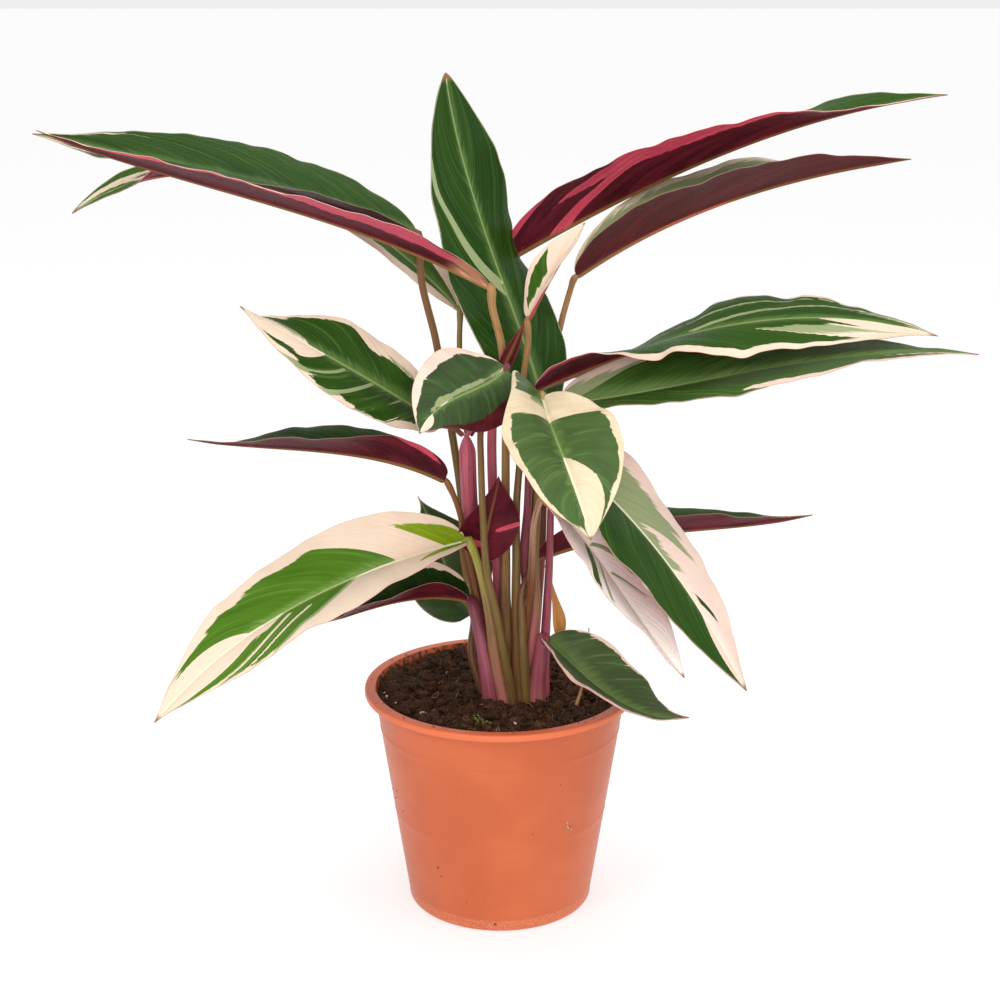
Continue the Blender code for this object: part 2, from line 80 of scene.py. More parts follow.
LEAVES = {
    "leaf_left_top": dict(base=(-45, 31, 376), length=217, half=30, heading=(180, 170, 170), pitch=(22, 12, 10), left=(20, 10, -10), right=(30, 30, 35), colour="green"),
    "leaf_left_second": dict(base=(-6, -5, 354), length=252, half=28, heading=(177, 173, 164), pitch=(28.5, 15, 18.5), left=(35, 25, 25), right=(5, -10, -15), colour="crimson"),
    "leaf_left_rear": dict(base=(-23, 46, 333), length=248, half=25, heading=(157, 169, 175), pitch=(44, 15, -36), blunt=(0.65, 0.8), left=(0, 15, 65), right=(25, 20, 25), colour="green"),
    "leaf_upright": dict(base=(26, 34, 274), length=195, half=29, heading=(173, 148, 157), pitch=(77, 67, 83), widest=0.45, blunt=(0.6, 0.75), left=(-30, -25, -28), right=(50, -5, 45), colour="green"),
    "leaf_right_top": dict(base=(4, 81, 354), length=258, half=31, heading=(-23, -18, -24), pitch=(30.5, 24, 7.5), left=(22, 2, 45), right=(60, 33, 12), colour="crimson"),
    "leaf_right_second": dict(base=(42, 51, 350), length=190, half=28, heading=(-5, -5, -7), pitch=(36, 19.5, 8), left=(62, 38, 0), right=(50, 36, 45), colour="burgundy"),
    "leaf_small_cream": dict(base=(15, 16, 333), length=60, half=12, heading=(-10, -10, -8), pitch=(66, 60, 56), left=(55, 75, 70), right=(-5, -10, -30), colour="cream"),
    "leaf_right_third": dict(base=(19, 10, 296), length=217, half=30, heading=(-8, -18, -9), pitch=(26, 14, -17), left=(-20, 17, 14), right=(50, -24, -50), colour="mixed"),
    "leaf_right_fourth": dict(base=(32, 1, 290), length=218, half=29, heading=(-17, -16, -14), pitch=(10, 14, -3), blunt=(0.45, 1.1), left=(50, 25, 5), right=(0, -11, 0), colour="green"),
    "leaf_left_cream": dict(base=(-32, -4, 281), length=137, half=27, heading=(-153, -146, -137), pitch=(36, 33, 31), left=(-35, -45, -60), right=(60, 55, 15), colour="mixed"),
    "leaf_left_near": dict(base=(3, -12, 313), length=72, half=28, heading=(-117, -136, -118), pitch=(-25, -10, -46), left=(-50, -60, -40), right=(45, 40, 40), colour="mixed"),
    "leaf_front": dict(base=(22, -22, 300), length=103, half=33, heading=(-84, -74, -71), pitch=(-22, -27, -52), blunt=(0.35, 1.1), left=(32, 34, 10), right=(50, 20, 0), colour="mixed"),
    "leaf_front_long": dict(base=(12, -8, 275), length=182, half=30, heading=(-34, -32, -26), pitch=(-14, -43, -59), blunt=(0.65, 0.95), left=(40, 3, 12), right=(40, -5, -20), colour="pink"),
    "leaf_front_pale": dict(base=(23, -30, 246), length=118, half=24, heading=(-31, -39, -31), pitch=(-30, -45, -41), blunt=(0.65, 0.95), left=(40, -10, 25), right=(25, 20, 30), colour="pink"),
    "leaf_right_low": dict(base=(20, 14, 199), length=156, half=21, heading=(6, 4, 6), pitch=(22, 4, 11), left=(25, 20, 10), right=(70, 40, 35), colour="green"),
    "leaf_left_burgundy": dict(base=(-30, 8, 246), length=140, half=23, heading=(-174, -170, -171), pitch=(29, 8, 11), blunt=(0.5, 1.1), left=(60, 30, 20), right=(33, 21, -10), colour="burgundy"),
    "leaf_left_large": dict(base=(-18, -6, 216), length=195, half=33, heading=(-155, -152, -149), pitch=(-6, -19.5, -45), left=(10, 0, -25), right=(70, 27, 38), colour="lime"),
    "leaf_left_low": dict(base=(-17, 6, 178), length=84, half=23, heading=(169, 170, 169), pitch=(12, -16, -22), left=(45, 20, 15), right=(45, 55, 55), colour="green"),
    "leaf_rear_low": dict(base=(-15, 28, 163), length=76, half=27, heading=(145, 125, 144), pitch=(30, 55, 51), blunt=(0.5, 1.8), left=(-35, 5, 0), right=(30, 30, 30), colour="green"),
    "leaf_over_rim": dict(base=(25, 2, 156), length=98, half=25, heading=(-50, -38, -11), pitch=(-16, -20, 13), left=(45, 20, 15), right=(35, 25, 15), colour="green"),
    "leaf_young_burgundy": dict(base=(-8, 8, 201), length=53, half=17, heading=(-100, -55, -30), pitch=(75, 72, 78), widest=0.45, left=(-25, -25, -10), right=(0, 0, 0), colour="crimson"),
    "leaf_rolled_young": dict(base=(-10, -5, 290), length=50, half=4, heading=(10, 10, 12), pitch=(60, 62, 68), widest=0.55, left=(-50, -50, -50), right=(50, 50, 50), colour="crimson"),
    "dry_leaf": dict(base=(26, 13, 196), length=45, half=4.5, heading=(-20, -20, -34), pitch=(-78, -78, -86), widest=0.75, left=(20, 20, 20), right=(-20, -20, -20), colour="dry", steps=7),
}

# ---------------------------------------------------------------- stalks
STALK_RINGS = 9
# Each stalk of the clump: its radius in the soil and at the top, where it is rooted,
# and the places it passes on its way up to the base of its blade.
STALKS = {
    "stalk_left_low": dict(r=(3.4, 2.2), root=(-5, 2), way=[(-9, 1, 150), (-13, 2, 168)]),
    "stalk_rear_low": dict(r=(1.8, 1.5), root=(-10, 15), way=[(-16, 20, 142)]),
    "stalk_left_top": dict(r=(2.3, 1.9), root=(-4, 9.5), way=[(-10, 12, 150), (-15, 13, 175), (-20, 19, 200), (-21, 20, 230), (-25, 24, 260), (-30, 27, 290), (-35, 29, 320), (-42, 30, 350)]),
    "stalk_left_burgundy": dict(r=(1.9, 1.4), root=(1, 6.5), way=[(-6, 7, 150), (-12, 9.5, 175), (-17, 9, 200), (-22, 8.5, 228)]),
    "stalk_young_burgundy": dict(r=(1.4, 1.2), root=(5, 4.5), way=[(-2, 5, 150), (-7, 6, 175)]),
    "stalk_left_large": dict(r=(2.3, 1.9), root=(2, -0.5), way=[(-3, -3, 150), (-6, -4, 175), (-11, -6, 200)], top=(-16, -5, 214.3)),
    "stalk_front_long": dict(r=(1.9, 1.6), root=(7, 0), way=[(2, -3, 150), (-2, -7, 175), (-7, -11, 200), (-9, -14, 230), (-10, -16, 262), (-10, -16, 281), (-6, -15, 290), (3, -12, 285)]),
    "stem_left": dict(r=(3.0, 4.6), root=(2, 14), way=[(-6, 17.5, 150), (-9, 18, 175), (-13, 15.5, 200), (-16.5, 12.5, 230)], top=(-18, 9, 270)),
    "stalk_left_second": dict(r=(2.4, 2.0), root=(8, 9.5), way=[(5, 9.5, 150), (3, 9.5, 175), (3, 11, 200), (3, 11, 230), (3, 9, 260), (3, 5, 290), (1, 1, 320), (-4, -4, 343)]),
    "stalk_right_top": dict(r=(2.7, 2.3), root=(4, 20), way=[(2, 19, 150), (0, 18.5, 175), (-3.5, 18.5, 230), (-4.5, 20, 260), (-4, 28, 290), (-5, 50, 320), (-3, 71, 343)], top=(1.5, 80.5, 351.5)),
    "stalk_small_cream": dict(r=(2.2, 1.6), root=(10, 4), way=[(9, 5.5, 175), (9, 7, 200), (9, 11, 230), (11, 13, 260), (12, 15, 295), (15, 16, 320)]),
    "stalk_upright": dict(r=(2.6, 2.0), root=(11, 18), way=[(13, 18.5, 150), (16, 21, 200), (19, 26, 230), (24, 32, 260)]),
    "stalk_front_pale": dict(r=(1.8, 1.5), root=(13, 12.5), way=[(14, 8, 150), (16, 4, 175), (17, -6, 200), (18, -18, 230)]),
    "stalk_right_low": dict(r=(2.1, 1.5), root=(14.5, 2), way=[(12, 1, 165), (12, 3.5, 183), (17, 9.5, 194)]),
    "stalk_front": dict(r=(2.2, 1.7), root=(16, 8), way=[(17.5, 5.5, 150), (20, 3.5, 175), (19, 3, 200), (20, 2, 230), (21, 3, 260), (22, 1, 278), (22, -9, 292)]),
    "stalk_right_second": dict(r=(2.2, 1.6), root=(17, 18.5), way=[(19, 19.5, 150), (21, 21, 175), (23, 25, 200), (24, 31, 230), (25, 40, 260), (29, 55, 298), (34, 62, 322), (39, 58, 342)]),
    "stalk_right_third": dict(r=(2.2, 1.8), root=(22, 14), way=[(18, 13, 150), (13.5, 14, 200), (15, 11.5, 230), (16, 10, 265)]),
    "stalk_over_rim": dict(r=(3.4, 2.2), root=(21, 2.5), way=[(21.5, 2, 137)], top=(22.5, 3.5, 153)),
    "stalk_right_fourth": dict(r=(1.9, 1.6), root=(25, 8.5), way=[(25, 9, 150), (27, 6, 200), (28, 3, 260)]),
    "old_stalk": dict(r=(1.3, 0.6), root=(42, -8), way=[(45, -4, 130), (48, 0, 145)], top=(49, 3, 163)),
}
# Thin stalks that leave the top of the left stem.
BRANCHES = {
    "stalk_left_rear": dict(r=(1.5, 1.5), way=[(-18, 11.5, 272), (-19.5, 22, 287), (-22, 34, 312)]),
    "stalk_left_cream": dict(r=(1.4, 1.4), way=[(-20.5, 9, 271.5), (-25, 3, 277)]),
    "stalk_left_near": dict(r=(1.4, 1.4), way=[(-18, 6.2, 271.5), (-13, -5, 283), (-6, -11, 297), (2, -9, 308)], top=(5, -9, 312.5)),
    "stalk_rolled_young": dict(r=(1.3, 1.3), way=[(-15.5, 9, 271.5), (-11, 3, 281)]),
}

def spline(points, count):
    """`count` points at even spacing along the Catmull-Rom curve through `points`."""
    p = np.asarray(points, float)
    e = np.vstack([2 * p[0] - p[1], p, 2 * p[-1] - p[-2]])
    spans = len(p) - 1

    def at(t):
        t = np.clip(t, 0, spans - 1e-9)
        i = t.astype(int)
        x = (t - i)[:, None]
        a, b, c, d = e[i], e[i + 1], e[i + 2], e[i + 3]
        return b + 0.5 * x * (c - a + x * (2 * a - 5 * b + 4 * c - d + x * (3 * (b - c) + d - a)))

    t = np.linspace(0, spans, 400)
    run = np.r_[0, np.cumsum(np.linalg.norm(np.diff(at(t), axis=0), axis=1))]
    return at(np.interp(np.linspace(0, run[-1], count), run, t))


def leaf_width(u, widest=0.42, base=0.65, tip=1.1):
    """Share of the half width at `u`, from 0 at the base to 1 at the tip."""
    k = math.log(0.5) / math.log(widest)
    return np.sin(np.pi * np.clip(u, 0, 1) ** k) ** (base + (tip - base) * u)


def between(values, u):
    """The smooth curve through the values at the base, the middle and the tip."""
    a, b, c = values
    return a * (1 - u) * (1 - 2 * u) + b * 4 * u * (1 - u) + c * u * (2 * u - 1)


def direction(heading, pitch):
    h, p = np.radians(heading), np.radians(pitch)
    return np.stack([np.cos(p) * np.cos(h), np.cos(p) * np.sin(h), np.sin(p)], -1)


def midrib(base, length, heading, pitch, count):
    """`count` points along the midrib, laid out step by step from the base."""
    fine = 20
    u = (np.arange(fine * (count - 1)) + 0.5) / (fine * (count - 1))
    steps = direction(between(heading, u), between(pitch, u)) * length / len(u)
    return np.vstack([base, base + np.cumsum(steps, axis=0)])[::fine]


def rise(angles, u):
    """The rise in degrees at `u`, eased from station to station."""
    stations = np.linspace(STATIONS[0], STATIONS[-1], len(angles))
    x = np.interp(u, stations, np.arange(len(angles)))
    i = np.minimum(x.astype(int), len(angles) - 2)
    t = (x - i) ** 2 * (3 - 2 * (x - i))
    a = np.asarray(angles, float)
    return a[i] * (1 - t) + a[i + 1] * t


def stalk_top(name, s):
    """The top of a stalk: its own, or just short of the base of the blade it is named for."""
    if "top" in s:
        return s["top"]
    leaf = LEAVES[name.replace("stalk_", "leaf_")]
    return tuple(np.array(leaf["base"]) - STALK_END * direction(leaf["heading"][0], leaf["pitch"][0]))



# ---------------------------------------------------------------- leaf markings
# Each patch is (half, s0, s1, r0, r1): half is L, R or B for both; s runs along the
# blade but follows the side veins forward, and r runs from the midrib (0) to the
# margin (1). A sixth number slants the patch towards the tip as r grows. green covers the cream ground, cut shows the ground again, sage and lime
# are paler greens, slit cuts the green and fills it with sage.
ALL = [("B", -0.5, 1.6, -0.1, 1.3)]
MARKS = {
    "leaf_left_top": dict(green=ALL, cut=[("R", 0.40, 0.60, 0.86, 0.95), ("L", 0.45, 0.9, 0.9, 1.2)], tone=0.16, stripes=0.6, pink=0.3),
    "leaf_left_second": dict(green=ALL, cut=[("L", -0.15, 0.22, 0.42, 1.2), ("L", 0.2, 0.42, 0.80, 1.2), ("B", 0.42, 0.5, 0.75, 1.2)], tone=0.35, stripes=0.2, pink=0.6, curl=0.13),
    "leaf_left_rear": dict(green=[("B", -0.05, 0.2, -0.1, 0.65), ("B", 0.26, 0.75, -0.1, 1.2), ("B", 0.80, 1.6, -0.1, 1.2)], slit=[("L", 0.33, 0.36, 0, 1)], sage=[("B", 0.18, 0.3, 0.1, 0.8)], cut=[("R", 0.58, 0.93, 0.3, 1.2), ("L", 0.80, 1.6, 0.6, 1.2)], tone=0.45, stripes=0.3, pink=0.35),
    "leaf_upright": dict(green=ALL, slit=[("L", 0.355, 0.41, 0.02, 1.1)], tone=0.10, stripes=0.5, pink=0.2),
    "leaf_right_top": dict(green=ALL, cut=[("R", -0.4, -0.12, 0.72, 1.2), ("R", 0.105, 0.165, -0.1, 1.2), ("R", 0.0, 0.30, 0.60, 1.2), ("R", 0.28, 0.42, 0.84, 1.2)], tone=0.3, stripes=0.2, pink=0.6),
    # The sage over this blade's left half and its strong grey cast are painted sheen: the grey-green gloss of that
    # half.
    "leaf_right_second": dict(green=[("R", -0.5, 1.6, -0.1, 1.3), ("L", 0.5, 1.6, -0.1, 1.3)], sage=[("L", -0.5, 0.7, 0.0, 0.86)], tone=0.3, stripes=0.4, pink=0.3, grey_and_sheen=0.8),
    "leaf_small_cream": dict(green=[("L", 0.02, 0.42, 0.25, 0.78)], tan=0.3, tone=0.4, stripes=0.2, pink=0.7),
    "leaf_right_third": dict(green=[("L", -0.3, 0.60, -0.1, 0.95), ("L", 0.5, 0.9, -0.1, 0.5), ("R", -0.4, 0.50, -0.1, 0.82), ("R", 0.4, 0.72, -0.1, 0.3)], sage=[("L", 0.6, 0.8, 0.1, 0.7), ("R", 0.5, 0.66, 0.1, 0.6)], slit=[("L", 0.12, 0.15, 0.06, 0.92, 0.30), ("L", 0.345, 0.40, 0.05, 0.8, 0.30)], cut=[("L", 0.02, 0.05, 0.3, 1.2)], tone=0.22, stripes=0.45, pink=0.45),
    "leaf_right_fourth": dict(green=[("L", 0.02, 1.6, -0.1, 1.2), ("R", -0.5, 0.16, -0.1, 1.2), ("R", 0.1, 0.60, -0.1, 0.86), ("R", 0.5, 1.5, -0.1, 0.5)], sage=[("L", -0.3, 0.02, 0.1, 0.75)], tone=0.34, stripes=1.0, pink=0.7, grey_and_sheen=0.15),
    "leaf_left_cream": dict(green=[("R", 0.04, 0.66, -0.1, 0.66), ("R", 0.26, 0.64, -0.1, 0.88), ("L", -0.02, 0.66, -0.1, 0.76), ("L", 0.1, 0.42, 0.6, 0.93)], slit=[("L", 0.185, 0.205, 0.05, 1.1), ("L", 0.33, 0.345, 0.05, 1.1), ("L", 0.455, 0.48, 0.1, 1.1)], sage=[("R", -0.25, 0.16, 0.6, 0.76), ("L", -0.2, -0.04, 0.1, 0.6), ("R", 0.60, 0.72, 0.1, 0.5)], cut=[("L", 0.58, 0.8, -0.1, 0.5)], tone=0.18, stripes=0.65, pink=0.45),
    "leaf_left_near": dict(green=[("R", -0.4, 1.6, -0.1, 0.76), ("L", -0.4, 0.8, -0.1, 1.3)], slit=[("R", -0.2, 0.8, 0.04, 0.14)], tone=0.10, stripes=0.5, pink=0.75, grey_and_sheen=0.35, rolled=0.62),
    "leaf_front": dict(green=[("R", -0.6, 0.10, 0.10, 0.9), ("R", 0.23, 0.90, -0.1, 0.86), ("L", 0.23, 0.50, -0.1, 0.88), ("L", 0.23, 0.50, -0.1, 0.88, 0.26)], sage=[("R", -0.4, 0.14, 0.02, 0.5)], tone=0.36, stripes=0.7, pink=0.12, tan=0.42, tan_margin=0.3, grey_and_sheen=0.45),
    "leaf_front_long": dict(green=[("R", -0.6, 0.75, -0.1, 1.3), ("L", 0.66, 0.70, 0.1, 0.4)], sage=[("L", -0.2, 0.42, -0.1, 0.70), ("L", 0.36, 0.6, -0.1, 0.16)], lime=[("R", 0.36, 0.44, 0.8, 1.1)], tone=0.16, stripes=0.35, pink=0.85),
    # pale lifts this blade's own pale cream nearly to white: painted light for the shade it sits in.
    "leaf_front_pale": dict(green=[("R", 0.05, 0.075, 0.3, 0.55), ("L", 0.13, 0.15, 0.2, 0.6), ("R", 0.24, 0.29, 0.1, 0.9)], sage=[("L", 0.26, 0.29, 0.1, 0.8), ("R", 0.34, 0.37, 0.1, 0.9), ("L", 0.42, 0.44, 0.1, 0.7)], tone=0.4, stripes=0.2, pink=0.8, tan=0.15, pale=1.0),
    "leaf_right_low": dict(green=ALL, tone=0.2, stripes=0.25, pink=0.4),
    "leaf_left_burgundy": dict(green=ALL, cut=[("L", -0.1, 0.02, 0.75, 1.2)], tone=0.1, stripes=0.2, pink=0.5),
    "leaf_left_large": dict(green=[("R", 0.21, 0.66, -0.1, 0.78), ("L", 0.34, 0.60, -0.1, 0.93)], cut=[("L", 0.425, 0.44, 0.25, 1.1), ("L", 0.50, 0.515, 0.2, 1.1), ("L", 0.555, 0.8, -0.1, 0.3)], lime=[("R", -0.2, 0.06, 0.05, 0.72), ("L", -0.3, 0.05, -0.1, 0.7)], sage=[("L", 0.32, 0.36, 0.1, 0.9)], tone=0.85, stripes=0.5, pink=0.45),
    "leaf_left_low": dict(green=ALL, cut=[("R", -0.2, 0.2, 0.8, 1.3)], tone=0.0, stripes=0.15, pink=0.6),
    "leaf_rear_low": dict(green=ALL, tone=0.1, stripes=0.3, pink=0.3, grey_and_sheen=0.3),
    "leaf_over_rim": dict(green=[("L", -0.6, 1.5, -0.1, 0.93), ("R", -0.6, 1.5, -0.1, 0.88)], tone=0.22, stripes=1.0, pink=0.6, grey_and_sheen=0.55),
    "leaf_young_burgundy": dict(green=ALL, cut=[("R", 0.16, 0.20, 0.1, 1), ("L", 0.32, 0.36, 0.3, 1)], tone=0.0, stripes=0.2, pink=0.6, young=1.0),
    "leaf_rolled_young": dict(green=ALL, tone=0.0, pink=0.5, young=1.0),
    "dry_leaf": dict(tan=2.0, tone=0.0, pink=0.0, dry=1.0),
}
VEIN_LEAN = 0.052  # how far a side vein runs forward to the margin, as a share of length squared over half width


def in_pot(points):
    """Points of the clump's layout, in mm, moved to where they stand in the pot."""
    a = math.radians(CLUMP_LEAN)
    lean = np.array([[1, 0, 0], [0, math.cos(a), -math.sin(a)], [0, math.sin(a), math.cos(a)]])
    return CLUMP_SCALE * (np.asarray(points, float) @ lean.T) + CLUMP_SHIFT


def patch_field(patches, half, s, r, length, width):
    """Greatest distance inside any of the patches, in mm; negative outside."""
    best = np.full(s.shape, -60.0)
    for side, s0, s1, r0, r1, *skew in patches:
        if side != "B" and side != half:
            continue
        q = s - (skew[0] * r if skew else 0.0)
        d = np.minimum(np.minimum((q - s0) * length, (s1 - q) * length), np.minimum((r - r0) * width, (r1 - r) * width))
        best = np.maximum(best, d)
    return best


# ---------------------------------------------------------------- mesh helpers
def grid_faces(rows, columns, start=0, wrap=False, flip=False):
    i, j = np.meshgrid(np.arange(rows - 1), np.arange(columns if wrap else columns - 1), indexing="ij")
    k = (j + 1) % columns
    quads = np.stack([i * columns + j, i * columns + k, (i + 1) * columns + k, (i + 1) * columns + j], -1).reshape(-1, 4) + start
    return quads[:, ::-1] if flip else quads


def build(name, points, quads, attributes=None, material=None, tris=None, uv=None):
    """A mesh object from arrays, in mm; attributes are {name: (points, 3) array}."""
    points = np.asarray(points, np.float32) * MM
    quads = np.asarray(quads, np.int32).reshape(-1, 4)
    tris = np.zeros((0, 3), np.int32) if tris is None else np.asarray(tris, np.int32).reshape(-1, 3)
    mesh = bpy.data.meshes.new(name)
    mesh.vertices.add(len(points))
    mesh.vertices.foreach_set("co", points.ravel())
    loops = np.concatenate([quads.ravel(), tris.ravel()])
    sizes = np.concatenate([np.full(len(quads), 4), np.full(len(tris), 3)])
    mesh.loops.add(len(loops))
    mesh.loops.foreach_set("vertex_index", loops)
    mesh.polygons.add(len(sizes))
    mesh.polygons.foreach_set("loop_start", np.concatenate([[0], np.cumsum(sizes)[:-1]]).astype(np.int32))
    mesh.polygons.foreach_set("loop_total", sizes.astype(np.int32))
    mesh.update(calc_edges=True)
    mesh.validate()
    for key, values in (attributes or {}).items():
        made = mesh.attributes.new(key, "FLOAT_VECTOR", "POINT")
        made.data.foreach_set("vector", np.asarray(values, np.float32).ravel())
    if uv is not None:
        layer = mesh.uv_layers.new(name="OFBake")
        layer.data.foreach_set("uv", np.asarray(uv, np.float32).ravel())
    mesh.polygons.foreach_set("use_smooth", np.ones(len(mesh.polygons), bool))
    mesh.set_sharp_from_angle(angle=math.radians(55))
    made = bpy.data.objects.new(name, mesh)
    bpy.context.scene.collection.objects.link(made)
    if material:
        mesh.materials.append(material)
    return made


def wave_noise(x, seed, scale):
    """Smooth values in -1..1 along x, from three sines."""
    rng = np.random.default_rng(seed)
    total = np.zeros_like(x)
    for f in (1.0, 1.7, 2.9):
        total = total + np.sin(x / scale * f * 2 * math.pi + rng.uniform(0, 6.28)) / f
    return total / 1.9


# ---------------------------------------------------------------- node helper
class Nodes:
    def __init__(self, name):
        self.material = bpy.data.materials.new(name)
        self.material.use_nodes = True
        self.tree = self.material.node_tree
        self.shader = self.tree.nodes["Principled BSDF"]

    def link(self, source, socket):
        if isinstance(source, (int, float)):
            socket.default_value = source
        elif isinstance(source, tuple):
            socket.default_value = (*source, 1)[: len(socket.default_value)]
        else:
            self.tree.links.new(source, socket)

    def node(self, kind, **settings):
        made = self.tree.nodes.new(kind)
        for key, value in settings.items():
            setattr(made, key, value)
        return made

    def attribute(self, name):
        found = self.node("ShaderNodeAttribute", attribute_name=name)
        split = self.node("ShaderNodeSeparateXYZ")
        self.tree.links.new(found.outputs["Vector"], split.inputs[0])
        return split.outputs[0], split.outputs[1], split.outputs[2]

    def math(self, operation, a, b=0.0, c=0.0, clamp=False):
        made = self.node("ShaderNodeMath", operation=operation, use_clamp=clamp)
        for value, socket in zip((a, b, c), made.inputs):
            self.link(value, socket)
        return made.outputs[0]

    def add(self, a, b):
        return self.math("ADD", a, b)

    def mul(self, a, b):
        return self.math("MULTIPLY", a, b)

    def step(self, value, low, high):
        """0 below low, 1 above high, smooth between."""
        made = self.node("ShaderNodeMapRange", interpolation_type="SMOOTHSTEP")
        self.link(value, made.inputs["Value"])
        self.link(low, made.inputs["From Min"])
        self.link(high, made.inputs["From Max"])
        return made.outputs[0]

    def mix(self, factor, a, b):
        made = self.node("ShaderNodeMix", data_type="RGBA")
        self.link(factor, made.inputs[0])
        self.link(a, made.inputs[6])
        self.link(b, made.inputs[7])
        return made.outputs[2]

    def combine(self, x, y, z):
        made = self.node("ShaderNodeCombineXYZ")
        for value, socket in zip((x, y, z), made.inputs):
            self.link(value, socket)
        return made.outputs[0]

    def noise(self, vector, scale=1.0, detail=2.0, rough=0.5):
        made = self.node("ShaderNodeTexNoise")
        self.tree.links.new(vector, made.inputs["Vector"])
        made.inputs["Scale"].default_value = scale
        made.inputs["Detail"].default_value = detail
        made.inputs["Roughness"].default_value = rough
        return made.outputs[0]

    def position(self):
        """The point on the object in mm."""
        found = self.node("ShaderNodeTexCoord")
        made = self.node("ShaderNodeVectorMath", operation="SCALE")
        self.tree.links.new(found.outputs["Object"], made.inputs[0])
        made.inputs["Scale"].default_value = 1000
        return made.outputs[0]

    def bump(self, height, strength, distance):
        made = self.node("ShaderNodeBump")
        made.inputs["Strength"].default_value = strength
        made.inputs["Distance"].default_value = distance
        self.link(height, made.inputs["Height"])
        self.tree.links.new(made.outputs[0], self.shader.inputs["Normal"])

    def finish(self, colour, roughness, **constants):
        self.link(colour, self.shader.inputs["Base Color"])
        self.link(roughness, self.shader.inputs["Roughness"])
        for key, value in constants.items():
            self.shader.inputs[key.replace("_", " ")].default_value = value
        return self.material


